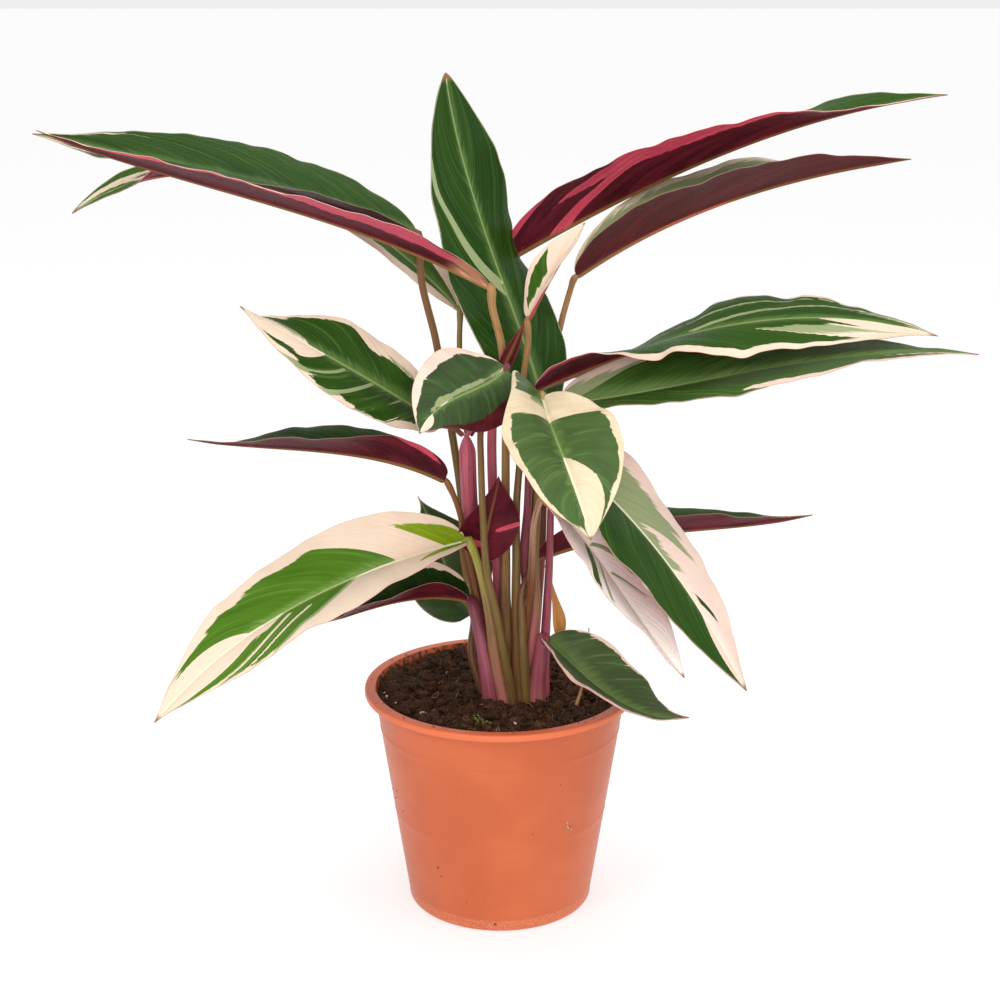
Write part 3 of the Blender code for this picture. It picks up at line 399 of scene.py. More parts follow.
# ---------------------------------------------------------------- leaf material
def leaf_material():
    n = Nodes("stromanthe_leaf")
    x, y, seed = n.attribute("leaf_a")  # along the veins' coordinate, from the midrib, seed
    green_d, sage_d, lime_d = n.attribute("leaf_b")
    pink, tan, tone = n.attribute("leaf_c")
    u, margin, under = n.attribute("leaf_d")
    stripes, grey_and_sheen, young = n.attribute("leaf_e")
    across = n.math("ABSOLUTE", y)

    def streak(fx, fy, offset, detail=2.0):
        return n.noise(n.combine(n.mul(x, fx), n.mul(y, fy), n.add(n.mul(seed, 3.7), offset)), 1.0, detail)

    broad = streak(0.075, 0.022, 0.0)
    middle = streak(0.33, 0.03, 3.0)
    fine = streak(1.2, 0.06, 5.0)
    hair = streak(2.6, 0.08, 9.0, 1.0)
    sliver = n.mul(n.step(middle, 0.66, 0.78), 4.0)
    wobble = n.add(n.mul(n.add(broad, -0.5), 7.0), n.add(n.mul(n.add(middle, -0.5), 2.0), n.mul(n.add(fine, -0.5), 0.9)))
    wobble = n.math("SUBTRACT", wobble, sliver)
    sage_wobble = n.add(n.mul(n.add(streak(0.12, 0.03, 13.0), -0.5), 10.0), n.mul(n.add(streak(0.6, 0.04, 17.0), -0.5), 8.0))
    green = n.step(n.add(green_d, wobble), -0.30, 0.35)
    sage = n.step(n.add(sage_d, sage_wobble), -0.6, 0.8)
    lime = n.step(n.add(lime_d, n.add(n.mul(sage_wobble, 0.12), n.mul(wobble, 0.35))), -0.4, 0.5)

    cream = n.mix(pink, (0.76, 0.64, 0.45), (0.84, 0.62, 0.54))
    cream = n.mix(n.mul(n.step(fine, 0.45, 0.75), 0.6), cream, n.mix(pink, (0.68, 0.60, 0.36), (0.80, 0.55, 0.47)))
    cream = n.mix(n.mul(n.step(hair, 0.5, 0.8), 0.18), cream, (0.62, 0.62, 0.38))
    # Only a negative value, from pale, acts here: it lifts the cream towards white, painted light over the blade's own
    # pale cream.
    cream = n.mix(n.math("MULTIPLY", young, -0.85, clamp=True), cream, (1.0, 0.90, 0.82))
    blotch = n.noise(n.combine(n.mul(x, 0.06), n.mul(y, 0.08), seed), 1.0, 3.0)
    tanned = n.mix(n.step(hair, 0.35, 0.7), (0.62, 0.46, 0.27), (0.74, 0.60, 0.40))
    cream = n.mix(n.mul(tan, n.step(n.add(blotch, n.mul(tan, 0.25)), 0.42, 0.72)), cream, tanned)
    cream = n.mix(sage, cream, n.mix(fine, (0.17, 0.23, 0.085), (0.40, 0.43, 0.24)))
    cream = n.mix(lime, cream, n.mix(n.step(fine, 0.3, 0.7), (0.13, 0.24, 0.006), (0.28, 0.35, 0.010)))

    tint = n.add(tone, n.mul(n.add(blotch, -0.5), 0.5))
    leafy = n.mix(tint, (0.008, 0.034, 0.003), (0.080, 0.200, 0.010))
    leafy = n.mix(n.mul(n.step(middle, 0.50, 0.36), 0.45), leafy, n.mix(tone, (0.004, 0.020, 0.001), (0.045, 0.125, 0.004)))
    leafy = n.mix(n.mul(n.step(middle, 0.55, 0.72), n.mul(stripes, 0.8)), leafy, n.mix(tone, (0.065, 0.135, 0.035), (0.20, 0.32, 0.06)))
    leafy = n.mix(n.mul(n.step(fine, 0.60, 0.78), n.mul(stripes, 0.5)), leafy, (0.10, 0.18, 0.045))
    leafy = n.mix(n.mul(n.step(hair, 0.45, 0.8), 0.12), leafy, n.mix(tone, (0.035, 0.070, 0.015), (0.14, 0.26, 0.03)))
    # A greyer cast over the upper green: partly the blade's own duller tone, partly painted sheen.
    leafy = n.mix(n.mul(grey_and_sheen, 0.5), leafy, (0.15, 0.17, 0.11))
    top = n.mix(green, cream, leafy)

    line = n.add(n.mul(n.math("SUBTRACT", 1.0, u), 0.75), 0.28)
    rib = n.math("SUBTRACT", 1.0, n.step(across, n.mul(line, 0.55), n.mul(line, 1.25)))
    rib_colour = n.mix(green, (0.80, 0.80, 0.58), n.mix(tone, (0.20, 0.29, 0.09), (0.42, 0.54, 0.20)))
    feather = n.add(across, n.add(n.mul(n.add(fine, -0.5), 6.0), n.mul(n.add(middle, -0.5), n.mul(stripes, 16.0))))
    glow = n.mul(n.math("SUBTRACT", 1.0, n.step(feather, 0.2, n.mul(line, n.add(4.0, n.mul(stripes, 6.5))))), n.mul(green, n.add(0.40, n.mul(stripes, 0.42))))
    top = n.mix(glow, top, n.mix(tone, (0.10, 0.18, 0.05), (0.26, 0.38, 0.11)))
    top = n.mix(n.mul(rib, 0.85), top, rib_colour)
    edge = n.math("SUBTRACT", 1.0, n.step(n.add(margin, n.mul(n.add(fine, -0.5), 0.9)), 0.25, 0.75))
    top = n.mix(n.mul(edge, 0.55), top, n.mix(pink, (0.55, 0.55, 0.35), (0.75, 0.45, 0.38)))
    dead = n.step(n.add(u, n.mul(n.add(fine, -0.5), 0.02)), 0.970, 0.992)
    top = n.mix(dead, top, (0.28, 0.15, 0.06))
    husk = n.mix(n.step(hair, 0.4, 0.7), (0.42, 0.17, 0.035), (0.60, 0.33, 0.11))
    top = n.mix(n.step(tan, 1.4, 1.6), top, husk)
    top = n.mix(young, top, n.mix(n.step(middle, 0.5, 0.72), (0.028, 0.002, 0.006), (0.26, 0.014, 0.040)))

    wine = n.mix(n.step(blotch, 0.3, 0.7), (0.046, 0.004, 0.008), (0.115, 0.009, 0.018))
    wine = n.mix(n.mul(grey_and_sheen, 0.6), wine, (0.075, 0.025, 0.018))
    wine = n.mix(n.mul(n.step(hair, 0.45, 0.8), 0.30), wine, (0.17, 0.035, 0.030))
    wine = n.mix(n.mul(n.step(middle, 0.58, 0.75), 0.35), wine, (0.20, 0.018, 0.030))
    rose = n.mix(n.step(fine, 0.3, 0.75), (0.50, 0.035, 0.075), (0.66, 0.10, 0.15))
    rose = n.mix(n.mul(n.step(hair, 0.5, 0.8), 0.3), rose, (0.36, 0.02, 0.045))
    below = n.mix(green, rose, wine)
    scorched = n.mix(n.step(middle, 0.42, 0.60), (0.52, 0.30, 0.13), n.mix(n.step(fine, 0.4, 0.6), (0.50, 0.07, 0.07), (0.62, 0.42, 0.24)))
    below = n.mix(n.mul(n.step(tan, 0.3, 0.9), n.add(n.mul(n.step(blotch, 0.3, 0.6), 0.5), 0.4)), below, scorched)
    rib_under = n.math("SUBTRACT", 1.0, n.step(across, 0.5, 1.3))
    below = n.mix(n.mul(rib_under, n.math("SUBTRACT", 0.9, n.mul(u, 0.6))), below, n.mix(fine, (0.22, 0.085, 0.022), (0.32, 0.17, 0.05)))
    below = n.mix(n.mul(edge, 0.3), below, (0.36, 0.05, 0.06))
    colour = n.mix(n.step(under, 0.4, 0.6), top, below)

    n.bump(n.add(n.mul(middle, 2.4), n.add(n.mul(hair, 0.7), n.mul(fine, 1.2))), 0.35, 0.0004)
    rough = n.add(n.mul(blotch, 0.16), n.mix(under, (0.26, 0.26, 0.26), (0.36, 0.36, 0.36)))
    return n.finish(colour, rough, Specular_IOR_Level=0.10)


# ---------------------------------------------------------------- leaves
def leaf_shape(spec, u):
    """Midrib, its frame and half width at u, all in the clump's layout."""
    line = midrib(spec["base"], spec["length"], spec["heading"], spec["pitch"], 401)
    at = np.linspace(0, 1, 401)
    line = np.stack([np.interp(u, at, line[:, k]) for k in range(3)], -1)
    along = direction(between(spec["heading"], u), between(spec["pitch"], u))
    over = np.array([0, 0, 1.0]) - along[:, 2:3] * along
    over /= np.linalg.norm(over, axis=1)[:, None]
    side = np.cross(over, along)
    width = np.maximum(spec["half"] * leaf_width(u, spec.get("widest", 0.42), *spec.get("blunt", (0.65, 1.1))), 0.0)
    return line, along, over, side, width


def make_leaf(name, index, material, box):
    spec, marks = LEAVES[name], MARKS[name]
    extra = SHAPES.get(name, {})
    length, half_width = spec["length"], spec["half"]
    rows = int(max(30, length / 1.45))
    t = np.linspace(0, 1, rows + 1)
    u = 0.75 * t + 0.25 * (0.5 - 0.5 * np.cos(math.pi * t))
    line, along, over, side, width = leaf_shape(spec, u)
    sides = [np.ones(len(u))[:, None], np.ones(len(u))[:, None]]
    for k, key in enumerate(("blunt_left", "blunt_right")):
        if key in extra:
            plain = leaf_width(u, spec.get("widest", 0.42), *spec.get("blunt", (0.65, 1.1)))
            own = leaf_width(u, spec.get("widest", 0.42), *extra[key])
            sides[k] = np.where(plain > 0.02, own / np.maximum(plain, 0.02), 1.0)[:, None]
    trim = [sides[k] * np.interp(u, np.linspace(0, 1, 6), extra.get(key, (1,) * 6))[:, None] for k, key in enumerate(("trim_left", "trim_right"))]
    width = width * (1 + 0.035 * wave_noise(u * length, index, 60) * np.sin(math.pi * u)) + 0.35 * (1 - u) + 0.12
    n = max(8, min(22, int(half_width / 1.35)))
    r1 = (np.arange(n + 1) / n) ** 1.1
    v = np.concatenate([-r1[:0:-1], r1])
    columns = len(v)
    r = np.abs(v)[None, :] * np.ones((len(u), 1))
    left = (v > 0)[None, :]
    a = np.where(left, rise(extra.get("left", spec["left"]), u)[:, None], rise(extra.get("right", spec["right"]), u)[:, None])
    bend = extra.get("bend", 16)
    a = np.radians(a - bend * (r - 0.5) * 1.0)
    sign = np.where(v > 0, 1.0, -1.0)[None, :, None]
    out = sign * np.cos(a)[..., None] * side[:, None] + np.sin(a)[..., None] * over[:, None]
    up = -sign * np.sin(a)[..., None] * side[:, None] + np.cos(a)[..., None] * over[:, None]
    # integrate across so that the bend keeps the width
    out = out * np.where(left, trim[0], trim[1])[..., None]
    reach = np.zeros((len(u), columns, 3))
    dr = np.diff(np.abs(v))
    mid = n
    for j in range(mid + 1, columns):
        reach[:, j] = reach[:, j - 1] + 0.5 * (out[:, j] + out[:, max(j - 1, mid + 1)]) * (abs(v[j]) - abs(v[j - 1]))
    for j in range(mid - 1, -1, -1):
        reach[:, j] = reach[:, j + 1] + 0.5 * (out[:, j] + out[:, min(j + 1, mid - 1)]) * (abs(v[j]) - abs(v[j + 1]))
    up[:, mid] = over
    centre = line[:, None] + reach * width[:, None, None]
    distance = r * width[:, None]
    s = u[:, None] - VEIN_LEAN * length / half_width * (0.55 + 0.75 * u[:, None]) * r ** 1.2
    x = s * length
    seed = float(index)
    body = np.sin(math.pi * np.clip(u, 0, 1))[:, None] ** 0.5
    waves = extra.get("wave", 1.1) * r ** 2.2 * np.where(left, wave_noise(u * length, index + 100, 46)[:, None], wave_noise(u * length, index + 200, 41)[:, None])
    corrugation = 0.16 * np.sin(x * 2 * math.pi / 6.3 + index) * np.clip(4 * r * (1 - r), 0, 1)
    soft = 0.9 * np.sin(x / 23 + index) * np.sin(distance / 9 + index) * r
    groove = -0.55 * np.exp(-(distance / 1.7) ** 2)
    offset = (waves * body + corrugation * body + soft * body + groove) * np.minimum(1, width[:, None] / 6)
    thick = 0.17
    ridge = (1.15 * (1 - u[:, None]) ** 0.8 + 0.15) * np.exp(-(distance / (1.25 - 0.6 * u[:, None])) ** 2)
    top = centre + up * (offset + thick)[..., None]
    bottom = centre + up * (offset - thick - ridge)[..., None]
    count = top.shape[0] * columns
    points = in_pot(np.concatenate([top.reshape(-1, 3), bottom.reshape(-1, 3)]))
    points = np.clip(points, np.array(box[0]) / MM + 0.1, np.array(box[1]) / MM - 0.1)
    R = top.shape[0]
    faces_top = grid_faces(R, columns, 0, flip=False)
    faces_bottom = grid_faces(R, columns, count, flip=True)
    i = np.arange(R - 1)

    def strip(a, b):
        return np.stack([a[:-1], a[1:], b[1:], b[:-1]], -1)

    first = np.arange(R) * columns
    last = first + columns - 1
    start = np.arange(columns)
    end = start + (R - 1) * columns
    strips = [strip(first, first + count), strip(last, last + count)[:, ::-1], strip(start, start + count)[:, ::-1], strip(end, end + count)]
    quads = np.concatenate([faces_top, faces_bottom] + strips)

    def per_point(values):
        values = np.broadcast_to(values, r.shape).reshape(-1)
        return np.concatenate([values, values])

    green = np.zeros(r.shape)
    sage = np.zeros(r.shape)
    lime = np.zeros(r.shape)
    W = np.maximum(width, 4)[:, None]
    for half, mask in (("L", v >= 0), ("R", v < 0)):
        m = np.where(mask)[0]
        f = lambda key: patch_field(marks.get(key, []), half, s[:, m], r[:, m], length, W)
        slit = f("slit")
        green[:, m] = np.minimum(np.minimum(f("green"), -f("cut")), -slit)
        sage[:, m] = np.maximum(f("sage"), slit + 2.5)
        lime[:, m] = f("lime")
    clip = lambda a: np.clip(a, -25, 25)
    rolled = np.where(left & (r > marks.get("rolled", 2.0) + 0.5 * np.clip(u[:, None] - 0.3, 0, 1)), 1.0, 0.0).reshape(-1)
    under = np.concatenate([rolled, np.ones(count)])
    tan = marks.get("tan", 0.0) + marks.get("tan_margin", 0.0) * r ** 2
    if marks.get("curl"):
        tan = np.maximum(tan, np.clip(1.6 - 1.6 * u[:, None] / marks["curl"], 0, 1.2))
    attributes = {
        "leaf_a": np.stack([per_point(x), per_point(distance * np.where(left, 1, -1)), per_point(seed)], -1),
        "leaf_b": np.stack([per_point(clip(green)), per_point(clip(sage)), per_point(clip(lime))], -1),
        "leaf_c": np.stack([per_point(marks.get("pink", 0.4)), per_point(tan), per_point(marks.get("tone", 0.3))], -1),
        "leaf_d": np.stack([per_point(u[:, None]), per_point((1 - r) * width[:, None]), under], -1),
        # The third value is young less pale; pale is painted light.
        "leaf_e": np.stack([per_point(marks.get("stripes", 0.0)), per_point(marks.get("grey_and_sheen", 0.0)), per_point(marks.get("young", 0.0) - marks.get("pale", 0.0))], -1),
    }
    # UV: the upper side in one half, the underside in the other, the edge strips beside them
    uu = np.repeat((0.012 + 0.976 * u)[:, None], columns, 1).reshape(-1)
    vv = np.repeat(((v + 1) / 2)[None, :], R, 0).reshape(-1)
    uv_points = np.concatenate([np.stack([uu, 0.012 + 0.47 * vv], -1), np.stack([uu, 0.518 + 0.47 * vv], -1)])
    uv = uv_points[quads.ravel()]
    begin = 4 * (len(faces_top) + len(faces_bottom))
    edge_points = quads.ravel()[begin:]
    is_bottom = edge_points >= count
    twin = uv_points[np.where(is_bottom, edge_points - count, edge_points)]
    push = np.zeros_like(twin)
    vq = vv[np.where(is_bottom, edge_points - count, edge_points)]
    uq = uu[np.where(is_bottom, edge_points - count, edge_points)]
    push[:, 1] = np.where(vq > 0.999, 0.006, np.where(vq < 0.001, -0.006, 0))
    push[:, 0] = np.where((vq > 0.001) & (vq < 0.999), np.where(uq < 0.5, -0.006, 0.006), 0)
    uv[begin:] = twin + push * is_bottom[:, None]
    made = build("v_" + name, points, quads, attributes, material, uv=uv)
    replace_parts(made, name)
    return made


# Differences of the drawn blades from the plain ones: rises at more stations, the
# curl of each half across, and the size of the waves of the margin.
SHAPES = {
    "leaf_right_top": dict(right=(60, 40, 26, 0), left=(22, 5, 12, 35)),
    "leaf_upright": dict(left=(-52, -34, -26, -28)),
    "leaf_left_rear": dict(left=(0, 6, 45, -18), right=(25, 20, 28, 40)),
    "dry_leaf": dict(wave=0.6, bend=60),
    "leaf_rolled_young": dict(bend=40, wave=0.1, left=(-75, -75, -75), right=(75, 75, 75)),
    "leaf_small_cream": dict(bend=24, wave=0.8),
    "leaf_young_burgundy": dict(bend=20, wave=0.5),
    "leaf_right_third": dict(wave=2.0, right=(34, -6, -32, -50)),
    "leaf_front": dict(wave=1.8, blunt_right=(0.16, 1.1), blunt_left=(0.5, 1.0), trim_left=(0.6, 0.80, 0.93, 1, 1, 1)),
    "leaf_left_near": dict(wave=1.5, trim_left=(1, 0.88, 0.8, 0.78, 0.8, 1)),
}


# ---------------------------------------------------------------- stalks
# Colours of each stalk at the soil, half way up and at its blade.
TAN, OLIVE, BROWN = (0.36, 0.19, 0.07), (0.165, 0.100, 0.028), (0.18, 0.068, 0.026)
PINK, PURPLE, WINE, LIME = (0.46, 0.095, 0.135), (0.27, 0.060, 0.080), (0.12, 0.012, 0.024), (0.34, 0.37, 0.05)
STALK_COLOURS = {
    "stalk_left_low": (PURPLE, (0.32, 0.09, 0.12), WINE), "stalk_rear_low": (BROWN, BROWN, OLIVE),
    "stalk_left_top": (TAN, OLIVE, BROWN), "stalk_left_burgundy": (PURPLE, BROWN, (0.26, 0.10, 0.03)),
    "stalk_young_burgundy": (PINK, WINE, WINE), "stalk_left_large": ((0.44, 0.15, 0.13), (0.24, 0.13, 0.05), LIME),
    "stalk_front_long": (OLIVE, OLIVE, BROWN), "stem_left": (PURPLE, PINK, PINK),
    "stalk_left_second": (BROWN, (0.25, 0.14, 0.045), TAN), "stalk_right_top": (PINK, PINK, PURPLE),
    "stalk_small_cream": (BROWN, OLIVE, TAN), "stalk_upright": (OLIVE, BROWN, OLIVE),
    "stalk_front_pale": (PINK, BROWN, (0.50, 0.30, 0.20)), "stalk_right_low": (OLIVE, OLIVE, WINE),
    "stalk_front": (PINK, OLIVE, (0.40, 0.30, 0.12)), "stalk_right_second": (PINK, BROWN, TAN),
    "stalk_right_third": (PURPLE, PURPLE, WINE), "stalk_over_rim": ((0.40, 0.14, 0.12), PURPLE, PURPLE),
    "stalk_right_fourth": (PINK, PURPLE, WINE), "old_stalk": (TAN, TAN, WINE),
    "stalk_left_rear": (BROWN, OLIVE, (0.28, 0.22, 0.07)), "stalk_left_cream": (PURPLE, OLIVE, (0.30, 0.26, 0.08)),
    "stalk_left_near": (PINK, WINE, PURPLE), "stalk_rolled_young": (WINE, WINE, WINE),
}


def stalk_material(name, low, middle, high, sheath=False):
    n = Nodes(name)
    around, along, share = n.attribute("stalk_a")
    seed = n.attribute("stalk_b")[0]
    streak = n.noise(n.combine(n.mul(around, 1.4), n.mul(along, 0.025), seed), 1.0, 3.0)
    hair = n.noise(n.combine(n.mul(around, 4.5), n.mul(along, 0.06), n.add(seed, 4.0)), 1.0, 2.0)
    blotch = n.noise(n.combine(n.mul(around, 0.25), n.mul(along, 0.09), n.add(seed, 8.0)), 1.0, 4.0)
    colour = n.mix(n.step(share, 0.0, 0.5), low, middle)
    colour = n.mix(n.step(share, 0.5, 1.0), colour, high)
    dark = tuple(c * 0.38 for c in middle)
    colour = n.mix(n.mul(n.step(streak, 0.45, 0.72), 0.75), colour, dark)
    # Pale thin streaks along the stalk: its fine striation, made bright enough to stand also as painted gloss
    # highlights.
    colour = n.mix(n.mul(n.step(hair, 0.5, 0.75), 0.55), colour, tuple(min(1, c * 1.5 + 0.03) for c in middle))
    colour = n.mix(n.mul(n.step(blotch, 0.62, 0.72), 0.5), colour, tuple(c * 0.5 for c in low))
    rough = n.add(n.mul(streak, 0.2), 0.28)
    n.bump(n.add(streak, n.mul(hair, 0.7)), 0.45, 0.0004)
    return n.finish(colour, rough, Specular_IOR_Level=0.24)


def tube(line, radius, sides, ribs=0.0, seed=0, flat=1.0):
    """Vertices, quads and (around, along, share) of a round bar with capped ends."""
    line = np.asarray(line, float)
    tangent = np.gradient(line, axis=0)
    tangent /= np.linalg.norm(tangent, axis=1)[:, None]
    normal = np.cross(tangent[0], [0.3, 1.0, 0.2])
    normals = []
    for t in tangent:
        normal = normal - np.dot(normal, t) * t
        normal /= np.linalg.norm(normal)
        normals.append(normal.copy())
    normals = np.array(normals)
    other = np.cross(tangent, normals)
    angle = np.linspace(0, 2 * math.pi, sides, endpoint=False)
    run = np.concatenate([[0], np.cumsum(np.linalg.norm(np.diff(line, axis=0), axis=1))])
    lump = 1 + ribs * np.cos(3 * angle + seed)[None, :] + ribs * 0.6 * np.cos(7 * angle + 2 * seed)[None, :]
    rad = np.asarray(radius)[:, None] * lump
    ring = line[:, None] + rad[..., None] * (np.cos(angle)[None, :, None] * normals[:, None] + flat * np.sin(angle)[None, :, None] * other[:, None])
    rows = len(line)
    points = ring.reshape(-1, 3)
    quads = grid_faces(rows, sides, 0, wrap=True)
    around = np.abs(((angle / math.pi + 1) % 2) - 1) * math.pi * np.mean(radius) + 0.4 * np.sin(angle * 2)
    data = np.stack(np.broadcast_arrays(around[None, :], run[:, None], (run / run[-1])[:, None]), -1).reshape(-1, 3)
    centre = len(points)
    points = np.vstack([points, line[:1], line[-1:]])
    data = np.vstack([data, [[0, 0, 0]], [[0, run[-1], 1]]])
    k = np.arange(sides)
    caps = np.concatenate([np.stack([(k + 1) % sides, k, np.full(sides, centre)], -1), np.stack([(rows - 1) * sides + k, (rows - 1) * sides + (k + 1) % sides, np.full(sides, centre + 1)], -1)])
    return points, quads, caps, data


def make_stalk(name, s, index):
    way = list(s["way"])
    if "root" in s:
        way = [(*s["root"], SOIL_TOP - 3)] + [(*s["root"], SOIL_TOP + 2.4)] + way
    leaf_name = name.replace("stalk_", "leaf_")
    end = np.array(stalk_top(name, s), float)
    way.append(tuple(end))
    if leaf_name in LEAVES:
        leaf = LEAVES[leaf_name]
        base = np.array(leaf["base"], float)
        ahead = direction(leaf["heading"][0], leaf["pitch"][0])
        way[-1] = tuple(base - 1.5 * ahead)
        way.append(tuple(base + 2.5 * ahead - np.array([0, 0, 0.5])))
    total = np.linalg.norm(np.diff(np.array(way, float), axis=0), axis=1).sum()
    rows = int(max(14, total / 2.2))
    line = in_pot(spline(way, rows))
    share = np.linspace(0, 1, rows)
    mm = share * total
    radius = s["r"][0] + (s["r"][1] - s["r"][0]) * share
    if "root" in s and name != "old_stalk":
        radius = radius * (1 + 0.50 * np.exp(-(mm / 80) ** 2))
    if leaf_name in LEAVES:
        left_mm = total - mm
        swell = np.clip(1 - left_mm / 13, 0, 1)
        radius = radius * (1 + 0.22 * np.sin(math.pi * np.clip(swell, 0, 1)) ** 1.5)
        radius = radius * np.clip(left_mm / 4 + 0.28, 0, 1) ** 0.7
    if name == "old_stalk":
        radius = radius * (0.25 + 0.75 * (1 - share)) + 0.1
    if name == "stem_left":
        # the sheath closes round the stalks that leave it
        radius = radius * np.clip((total - mm) / 9 + 0.12, 0, 1) ** 0.5
    points, quads, caps, data = tube(line, radius, 22 if s["r"][0] > 1.9 else 18, ribs=0.05 if name != "stem_left" else 0.035, seed=index)
    attributes = {"stalk_a": data, "stalk_b": np.tile([float(index), 0, 0], (len(data), 1))}
    made = build("v_" + name, points, quads, attributes, stalk_material("m_" + name, *STALK_COLOURS[name]), tris=caps)
    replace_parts(made, name)
    return made


# ---------------------------------------------------------------- pot
def body_radius(z):
    return POT_BASE_RADIUS + POT_BODY_TAPER * z


def pot_material():
    n = Nodes("terracotta_plastic")
    place = n.position()
    split = n.node("ShaderNodeSeparateXYZ")
    n.tree.links.new(place, split.inputs[0])
    px, py, pz = split.outputs
    broad = n.noise(place, 0.016, 2.0)
    middle = n.noise(place, 0.09, 3.0)
    speck = n.noise(place, 1.1, 2.0)
    angle = n.math("ARCTAN2", py, px)
    scuff = n.noise(n.combine(n.mul(angle, 14.0), n.mul(pz, 0.18), 2.0), 1.0, 4.0, 0.6)
    scratch = n.noise(n.combine(n.add(n.mul(angle, 55.0), n.mul(pz, 0.9)), n.mul(pz, 0.12), 7.0), 1.0, 2.0)
    colour = n.mix(n.step(broad, 0.35, 0.65), (0.475, 0.098, 0.032), (0.535, 0.118, 0.041))
    colour = n.mix(n.mul(n.step(middle, 0.45, 0.8), 0.2), colour, (0.43, 0.080, 0.027))
    colour = n.mix(n.mul(n.step(scuff, 0.64, 0.80), 0.22), colour, (0.66, 0.26, 0.14))
    colour = n.mix(n.mul(n.step(scratch, 0.78, 0.82), 0.35), colour, (0.82, 0.46, 0.32))
    band = n.mul(n.step(n.math("SUBTRACT", 8.0, pz), 0.0, 0.6), n.step(speck, 0.35, 0.7))
    colour = n.mix(n.mul(band, 0.35), colour, (0.80, 0.34, 0.20))
    # Painted shade: a darker line along the groove near the base.
    ring = n.step(n.math("ABSOLUTE", n.add(pz, -7.4)), 0.45, 0.1)
    colour = n.mix(n.mul(ring, 0.35), colour, (0.42, 0.085, 0.035))
    shadow = n.step(n.math("ABSOLUTE", n.add(pz, -121.6)), 0.7, 0.2)
    colour = n.mix(n.mul(shadow, 0.5), colour, (0.30, 0.055, 0.025))
    dust = n.mul(n.step(pz, 125.2, 125.9), n.step(middle, 0.5, 0.75))
    colour = n.mix(n.mul(dust, 0.3), colour, (0.36, 0.14, 0.08))
    wall = n.add(n.mul(pz, POT_BODY_TAPER), POT_BASE_RADIUS)
    inside = n.step(n.math("SUBTRACT", n.math("SQRT", n.add(n.mul(px, px), n.mul(py, py))), wall), -0.7, -1.1)
    grime = n.mul(n.mul(inside, n.step(pz, 112.0, 124.0)), n.step(n.noise(place, 0.35, 4.0), 0.42, 0.62))
    colour = n.mix(grime, colour, (0.07, 0.035, 0.02))
    # Painted light: the outside of the rim, from just above the painted shadow line up over its top, is made a brighter
    # orange for the light the lip catches.
    lit_rim_band = n.mul(n.step(pz, 121.9, 122.5), n.math("SUBTRACT", 1.0, inside))
    colour = n.mix(n.mul(lit_rim_band, 0.85), colour, (0.66, 0.150, 0.058))
    n.bump(n.add(n.mul(speck, 0.5), n.add(middle, n.mul(scuff, 0.4))), 0.10, 0.0004)
    rough = n.add(n.mul(scuff, 0.22), 0.27)
    return n.finish(colour, rough, Specular_IOR_Level=0.3)


